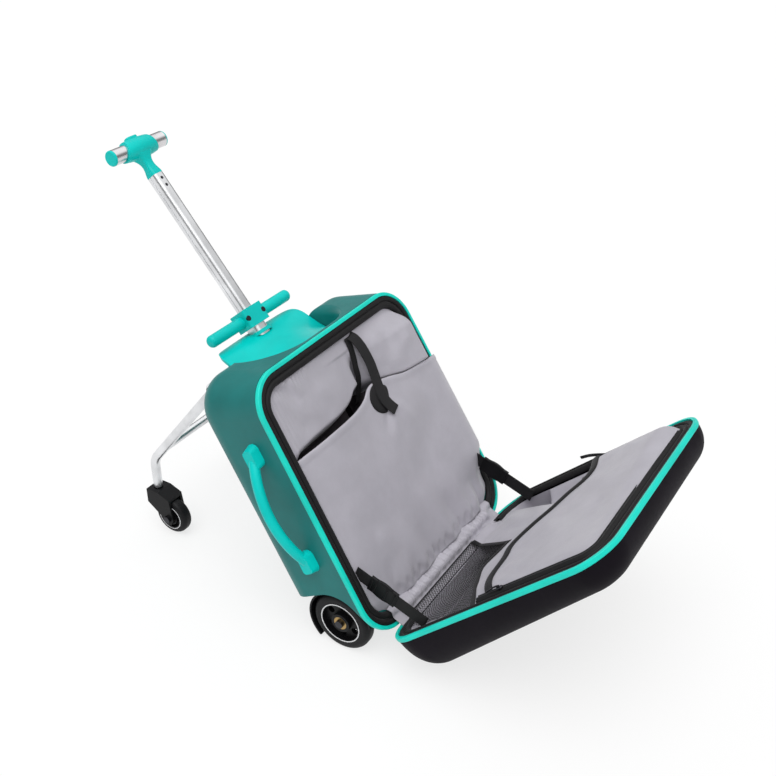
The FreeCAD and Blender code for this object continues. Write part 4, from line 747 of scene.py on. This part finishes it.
def tub_point(u, v):
    """A point of the lid's lining; beside each strap a hollow takes the buckle of the closed lid."""
    s = TUB_LOW + TUB_SPAN * v
    edge = side_at(s, TUB_EDGE)
    x = edge * math.cos(math.pi * u)
    gap = edge - abs(x)
    room = ease(30, 43, s) * ease(117, 104, s)
    out = 7.5 * room * (0.28 + 0.72 * ease(0, 2, gap)) * ease(16, 8, gap) * (0.45 + 0.55 * ease(44, 58, s))
    deep = 7.0 + 52.0 * ease(0, 3.2, gap) * ease(34, 14, gap)
    n = tub_level(x, s)
    n += max(0.0, deep - n) * room
    return on_lid(x + math.copysign(out, x), n, s)


def net_point(a, b):
    """A point of the net, from its left side to its right and from the hinge up; it keeps clear of the strap."""
    s = NET_LOW + (NET_TOP(184 - 202 * a) - NET_LOW) * b
    left = side_at(max(s, 27.0), 24.2) - 9.5 * ease(26, 42, s) * ease(118, 104, s)
    x = left + (NET_SIDE(s) - left) * a
    n = 5.6 + 1.6 * b + 4.0 * math.sin(math.pi * b) * math.sin(math.pi * min(1.0, a)) ** 0.7
    n -= 8.6 * (1 - ease(0.0, 0.2, b)) * ease(0.0, 0.15, a)
    return on_lid(x, n, s)


def net_threads():
    """Vertices and faces of two crossing sets of slanting threads."""
    verts, faces = [], []
    up = -LID_NORMAL
    for sign in (1, -1):
        for k in range(int((NET_WIDE + NET_TALL) / NET_PITCH) + 1):
            start = k * NET_PITCH - (NET_TALL if sign > 0 else 0.0)
            line = []
            for i in range(NET_STEPS + 1):
                b = i / NET_STEPS
                a = (start + sign * b * NET_TALL) / NET_WIDE
                if 0.0 <= a <= 1.0:
                    line.append(net_point(a, b))
            if len(line) < 2:
                continue
            base = len(verts)
            for i, p in enumerate(line):
                side = path_direction(line, i).cross(up).normalized()
                verts += [p + side * (u * MM) + up * (w * MM) for u, w in THREAD]
            for i in range(len(line) - 1):
                for j in range(4):
                    k0, k1 = base + 4 * i + j, base + 4 * i + (j + 1) % 4
                    faces.append((k0, k1, k1 + 4, k0 + 4))
    return verts, faces


def band_point(u, v):
    x0 = 184 - 206 * u
    s = NET_TOP(x0) + (BAND_TOP(x0) - NET_TOP(x0)) * v
    x = min(x0, side_at(s, 24.4))
    return on_lid(x, 8.0 - 2.5 * math.sin(math.pi * v) + 1.2 * math.sin(x * 0.09) * math.sin(math.pi * v), s)


def slip_point(u, v):
    """A point of the slip pocket, from the net's side to the right and from the hinge to the zip pocket."""
    low = NET_LOW + 6.5 * ease(0.4, 0.75, u)
    s = low + (POCKET_EDGE(-5 - 56 * u) - 2.0 - low) * v
    x = NET_SIDE(s) + (SLIP_SIDE(s) - NET_SIDE(s)) * u
    n = 8.5 - 4.5 * math.sin(math.pi * min(1, u * 1.02)) * ease(0, 0.3, v)
    n += ridge(x, s, -120, 60, -70, 150, 12, -2.2) + ridge(x, s, -70, 90, -40, 190, 10, 1.8)
    n += 12.0 * ease(0.93, 1.0, u)
    n -= 11.0 * (1 - ease(0.0, 0.11, v)) * (1 - ease(0.35, 0.7, u))
    return on_lid(x, n, s)


def pocket_level(x, s, gap_rim, gap_front):
    """How far the zip pocket stands out of the lid, higher on its right side."""
    height = 9.0 + 15.0 * ease(90, -140, x)
    n = 6.0 - height * rounded(gap_rim / 34.0) * (0.94 + 0.06 * rounded(gap_front / 46.0))
    return n + folded(x, s, POCKET_FOLDS) * ease(0, 18, gap_rim)


def pocket_place(u, v):
    """x, n and s of the zip pocket, from left to right and from its front edge to the rim."""
    x0 = NET_HALF - 2 * NET_HALF * u
    front = POCKET_EDGE(x0)
    s = front + (POCKET_END - front) * v
    edge = side_at(s, POCKET_SIDE)
    x = x0 * edge / NET_HALF
    gap_rim = max(0.0, min(edge - abs(x), LINING_END - s))
    return x, pocket_level(x, s, gap_rim, s - front), s


def pocket_point(u, v):
    return on_lid(*pocket_place(u, v))


tub, tub_area = cloth_piece(
    "lid_tub", net_rows(tub_point, 110, 120), SATIN, "lid", "grey_fabric", 0.8, OUTWARD)
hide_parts("lid_lining")

net = piece("net_pocket", *net_threads(), NET, "lid", "black_fabric")
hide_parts("mesh_pocket")

band, band_area = cloth_piece(
    "net_band", net_rows(band_point, 22, 80), SATIN, "lid", "grey_fabric", 1.2, CENTRED)

slip, slip_area = cloth_piece(
    "slip_front", net_rows(slip_point, 70, 60), SATIN, "lid", "grey_fabric", 1.2, CENTRED)
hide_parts("slip_pocket")

pocket, pocket_area = cloth_piece(
    "zip_pocket_front", net_rows(pocket_point, 78, POCKET_COLUMNS), SATIN, "lid", "grey_fabric", 1.2, OUTWARD)
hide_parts("zip_pocket")
front_edge = [pocket_place(u, 0.0) for u in np.linspace(0, 1, POCKET_COLUMNS)]
# The pocket's front wall, in the dark cloth: painted shadow inside the open pocket behind its edge.
wall_rows = [[on_lid(x, n + fall, s + back) for x, n, s in front_edge] for fall, back in WALL_PROFILE]
wall = piece("zip_pocket_wall", *grid(wall_rows), POCKET_DARK_AND_SHADE, "lid", "black_fabric")
thickened(wall, 0.8, CENTRED)


# Bindings along the pockets' edges.
def binding(name, points, width):
    return cord_tube(name, curve_through(points, 70), width / 2, BINDING, "lid", "black_fabric", 0.34,
                     -LID_NORMAL, 12)


binding("net_binding", [on_lid(x, 6.6, NET_TOP(x)) for x in np.linspace(-14, 182, 24)], 9.0)
binding("band_binding", [on_lid(x, 6.6, BAND_TOP(x)) for x in np.linspace(-20, 182, 24)], 8.5)
binding("net_side_binding", [on_lid(NET_SIDE(s), 6.2 - 8.6 * (1 - ease(NET_LOW, 30, s)), s)
                             for s in np.linspace(12, 128, 16)], 8.5)
binding("net_low_binding", [net_point(a, 0.012) for a in np.linspace(0.06, 0.995, 24)], 4.0)
edge_points = []
for x in np.linspace(176, -168, 60):
    s = POCKET_EDGE(x)
    gap = max(0.0, side_at(s, POCKET_SIDE) - abs(x))
    edge_points.append(on_lid(x, pocket_level(x, s, gap, 0.0) - 0.8, s - 3.0))
pocket_binding = binding("pocket_edge_binding", edge_points, 13.0)

# The zip pocket's own zip along its near and far sides, with its slider and a webbing pull.
POCKET_ZIP_PROFILE = (
    (24.2, 6.8), (25.6, 3.4), (28.0, 2.6), (29.2, 1.2), (31.4, 1.0), (32.8, 2.4), (34.6, 2.0), (36.4, 0.6))
POCKET_ZIP_LIFT = 1.4
POCKET_ZIP_RUN = slice(8 * 18 + 1, 8 * 60)  # of the rim's points
rows = [[on_lid(x, n - POCKET_ZIP_LIFT, s) for x, s in rim_points(inset, 8)[POCKET_ZIP_RUN]]
        for inset, n in POCKET_ZIP_PROFILE]
pocket_zip = piece("pocket_zip", *grid(rows), ZIP_TAPE, "lid", "black_fabric")
thickened(pocket_zip, TAPE_THICKNESS, OUTWARD)

pocket_ring = rim_points(30.4, 8)
near = min(range(len(pocket_ring) // 2), key=lambda i: abs(pocket_ring[i][1] - 236))
run = rim_run(on_lid, pocket_ring, near)
place = on_lid(pocket_ring[near][0], -2.4, pocket_ring[near][1])
slider("pocket_slider", place, run, -LID_NORMAL, "lid", -run)
pull_path = curve_through([on_lid(-148, -15, 272), on_lid(-156, -18, 254), on_lid(-166, -20, 232),
                           on_lid(-175, -20, 211)], 24)
pocket_pull = ribbon("pocket_pull", pull_path, LID_NORMAL, 5.0, 2.2, BLACK_CLOTH, "lid", "black_fabric")

# Each soft piece that the closed lid would press flat gets a mesh of its own.
for soft in (wall, pocket, pocket_binding, pocket_zip, pocket_pull):
    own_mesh(soft)
for soft in (panel, strap, patch, lobes, pocket_back):
    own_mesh(soft)

# Gathered fabric along the hinge, from the case's pocket panel to the lid's pockets.
APRON_HALF = 158
APRON_SWELL = 0.62  # share of the way to the lid over which the gathers swell


def apron_point(x, t):
    """A point of the apron; t runs from the case over the roll to the lid."""
    ripple = math.sin(x * 0.34 + 1.7 * math.sin(x * 0.083)) + 0.5 * math.sin(x * 0.81 + 0.7)
    taper = ease(0, 22, 152 - abs(x))
    knots = [
        on_case(x, -6.0, 31), on_case(x, 0.5, 26), on_case(x, 6.5 * taper + 1.0, 21.0),
        on_case(x, 9.0 * taper + 0.6 * ripple * taper, 15.0), on_lid(x, -5.5 * taper - 1.0, 8.5),
        on_lid(x, 0.5, 9.0), on_lid(x, 6.0, 11.5), on_lid(x, 9.5, 15.0)]
    place = t * (len(knots) - 1)
    i = min(len(knots) - 2, int(place))
    swell = math.sin(math.pi * t / APRON_SWELL) if t < APRON_SWELL else 0.0
    lift = (CASE_NORMAL * 0.8 + UPWARDS * 0.6) * (1.15 * ripple * swell * taper * MM)
    return spline_point(knots, i, place - i) + lift


rows = [[apron_point(x, t) for x in np.linspace(APRON_HALF, -APRON_HALF, 220)] for t in np.linspace(0, 1, 44)]
apron, apron_area = cloth_piece("hinge_fabric", rows, SATIN, None, "grey_fabric", 0.9, CENTRED)
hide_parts("hinge_gusset")
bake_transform(apron)


def box_centre(node):
    low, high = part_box(node)
    return (Vector(low) + Vector(high)) / 2


# Side straps, and the prongs and bars of their buckles.
STRAP_X = 177.5
PRONG_LENGTH, PRONG_OUT, PRONG_SWELL = 26, 12.6, 2.2
BAR_PLACES, BAR_HALF, BAR_OUT = (-20.5, -13.0, 6.0, 19.5), 11.5, 2.9
for tag, sign in (("left", 1), ("right", -1)):
    x = sign * STRAP_X
    a, b = on_case(x, -4, 112), on_lid(x, 4, 78)
    along = (b - a).normalized()
    across = along.cross(SIDEWAYS).normalized()
    path = [a.lerp(b, t) for t in np.linspace(0, 1, 40)]
    web = ribbon("side_webbing_" + tag, path, across, 24.0, 1.6, BLACK_CLOTH, None, "black_fabric")
    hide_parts("side_strap_" + tag)
    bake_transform(web)
    centre = box_centre("buckle_" + tag)
    for end, side in (("a", 1), ("b", -1)):
        prong = [centre + along * ((t - 0.5) * PRONG_LENGTH * MM)
                 + across * (side * (PRONG_OUT + PRONG_SWELL * math.sin(math.pi * t)) * MM)
                 for t in np.linspace(0, 1, 16)]
        cord_tube(f"buckle_prong_{tag}_{end}", prong, 2.6, BLACK, "case", "black_plastic", 1.0, SIDEWAYS, 12)
    for k, place in enumerate(BAR_PLACES):
        bar = [centre + along * (place * MM) + across * (w * MM) + SIDEWAYS * (sign * BAR_OUT * MM)
               for w in np.linspace(-BAR_HALF, BAR_HALF, 9)]
        cord_tube(f"buckle_bar_{tag}_{k}", bar, 1.5, BLACK, "case", "black_plastic", 0.8, SIDEWAYS, 10)

# The release button's coil spring, as a fixed coil; the real one shortens as the button goes down.
SPRING_LENGTH, SPRING_RADIUS, SPRING_TURNS = 6.8, 3.9, 4.5
centre = box_centre("button_spring")
spring_up = -Vector(joints["button_press"]["axis"]).normalized()
spring_side = spring_up.cross(SIDEWAYS).normalized()
coil = []
for t in np.linspace(0, 1, 161):
    turn = SPRING_TURNS * CIRCLE * t
    coil.append(centre + spring_up * ((t - 0.5) * SPRING_LENGTH * MM)
                + SIDEWAYS * (SPRING_RADIUS * math.cos(turn) * MM)
                + spring_side * (SPRING_RADIUS * math.sin(turn) * MM))
spring = cord_tube("button_coil", coil, 0.5, STEEL, "handle", "dark_steel", 1.0, spring_up, 8)
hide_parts("button_spring")
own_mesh(spring)

# Plain white rings on the wheels.
RING_HEIGHT = 0.35
REAR_RING_RADIUS, REAR_RING_WIDTH, REAR_RING_OUT = 33.8, 1.7, 12.1
CASTER_RING_RADIUS, CASTER_RING_WIDTH = 22.8, 1.3


def wheel_ring(name, joint, radius, width, offset, body):
    """A low ring round a wheel's axis, at an offset along it."""
    centre = Vector(joints[joint]["pos_m"])
    axis = Vector(joints[joint]["axis"]).normalized()
    if axis.x < 0:
        axis = -axis
    one = axis.cross(UPWARDS).normalized()
    two = axis.cross(one)
    inner, outer = radius - width / 2, radius + width / 2
    rows = []
    for r, h in ((inner, 0.0), (inner, RING_HEIGHT), (outer, RING_HEIGHT), (outer, 0.0)):
        rows.append([centre + axis * ((offset + math.copysign(h, offset)) * MM)
                     + (one * math.cos(t) + two * math.sin(t)) * (r * MM) for t in np.linspace(0, CIRCLE, 97)])
    verts, faces = grid(rows)
    piece(name, verts, turned(faces) if offset > 0 else faces, RING, body, "bearing_steel")


for side, sign in (("left", 1), ("right", -1)):
    wheel_ring("wheel_ring_" + side, "wheel_spin_" + side, REAR_RING_RADIUS, REAR_RING_WIDTH,
               sign * REAR_RING_OUT, "wheel_" + side)
    low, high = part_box("caster_tyre_" + side)
    face = (high[0] - low[0]) / 2 / MM
    for tag, end in (("a", 1), ("b", -1)):
        wheel_ring(f"caster_ring_{side}_{tag}", "caster_spin_" + side, CASTER_RING_RADIUS, CASTER_RING_WIDTH,
                   end * face, "caster_wheel_" + side)

# The floor: white where it is looked at, apart from the shadow, and a plain pale grey for bounced light.
FLOOR_REACH = 12.0  # metres
FLOOR_ALBEDO, FLOOR_SHADE = 0.8, 0.26
MIX_A, MIX_B, MIX_RESULT = 6, 7, 2  # the mix node's colour sockets
floor_mesh = bpy.data.meshes.new("floor")
floor_mesh.from_pydata([(x * FLOOR_REACH, y * FLOOR_REACH, 0) for x, y in ((-1, -1), (1, -1), (1, 1), (-1, 1))],
                       [], [(0, 1, 2, 3)])
floor = bpy.data.objects.new("floor", floor_mesh)
scene.collection.objects.link(floor)
white = Surface("floor_white")
rays = white.add("ShaderNodeLightPath").outputs
seen = white.math("MAXIMUM", rays["Is Camera Ray"], rays["Is Glossy Ray"])
seen = white.math("MAXIMUM", seen, rays["Is Transmission Ray"])
albedo = white.add("ShaderNodeMix", data_type="RGBA")
for socket, value in ((MIX_A, FLOOR_ALBEDO), (MIX_B, FLOOR_SHADE)):
    albedo.inputs[socket].default_value = (value, value, value, 1)
white.join(seen, albedo.inputs[0])
white.feed("Base Color", albedo.outputs[MIX_RESULT])
white.feed("Emission Strength", white.math("MULTIPLY", seen, 1.0 - FLOOR_SHADE))
white.feed("Emission Color", (1, 1, 1, 1))
white.feed("Roughness", 0.9)
white.feed("Specular IOR Level", 0.1)
floor_mesh.materials.append(white.mat)
floor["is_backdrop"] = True

# The studio: even light, softboxes in reflections, and white where the camera looks past the floor.
STUDIO_LIGHT = 0.52
SOFTBOXES = ((0.0, 0.55), (0.16, 0.22), (0.42, 0.30), (0.62, 1.25), (0.85, 1.3))  # height and brightness
world = bpy.data.worlds.new("studio")
scene.world = world
world.use_nodes = True
sky = Nodes(world.node_tree)
background = sky.tree.nodes["Background"]
rays = sky.add("ShaderNodeLightPath").outputs
seen = sky.math("MAXIMUM", rays["Is Camera Ray"], rays["Is Transmission Ray"])
direction = sky.add("ShaderNodeSeparateXYZ")
sky.join(sky.coords.outputs["Generated"], direction.inputs[0])
boxes = sky.add("ShaderNodeValToRGB")
for height, value in SOFTBOXES:
    stop = boxes.color_ramp.elements.new(height)
    stop.color = (value, value, value, 1)
sky.join(direction.outputs["Z"], boxes.inputs["Fac"])
softbox = sky.add("ShaderNodeMix", A=STUDIO_LIGHT)
sky.join(rays["Is Glossy Ray"], softbox.inputs["Factor"])
sky.join(boxes.outputs["Color"], softbox.inputs["B"])
shown = sky.add("ShaderNodeMix", B=1.0)
sky.join(seen, shown.inputs["Factor"])
sky.join(softbox.outputs["Result"], shown.inputs["A"])
background.inputs["Color"].default_value = (1, 1, 1, 1)
sky.join(shown.outputs["Result"], background.inputs["Strength"])


def aimed(name, data, way):
    """A lamp or camera that looks the given way."""
    obj = bpy.data.objects.new(name, data)
    scene.collection.objects.link(obj)
    obj.rotation_euler = Vector(way).to_track_quat("-Z", "Y").to_euler()
    return obj


sun_data = bpy.data.lights.new("key", "SUN")
sun_data.energy = 1.75
sun_data.angle = math.radians(55)
aimed("key", sun_data, (-0.28, -0.12, -1.0))

# The photograph's camera, as fitted.
camera_data = bpy.data.cameras.new("camera")
camera_data.lens = 49.70
camera_data.sensor_width = 36.0
camera = aimed("camera", camera_data, (-0.7242, -0.4513, -0.5215))
camera.location = HINGE + Vector((1.17582, 0.61574, 1.14739))
scene.camera = camera
scene.view_settings.view_transform = "Standard"

low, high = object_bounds()
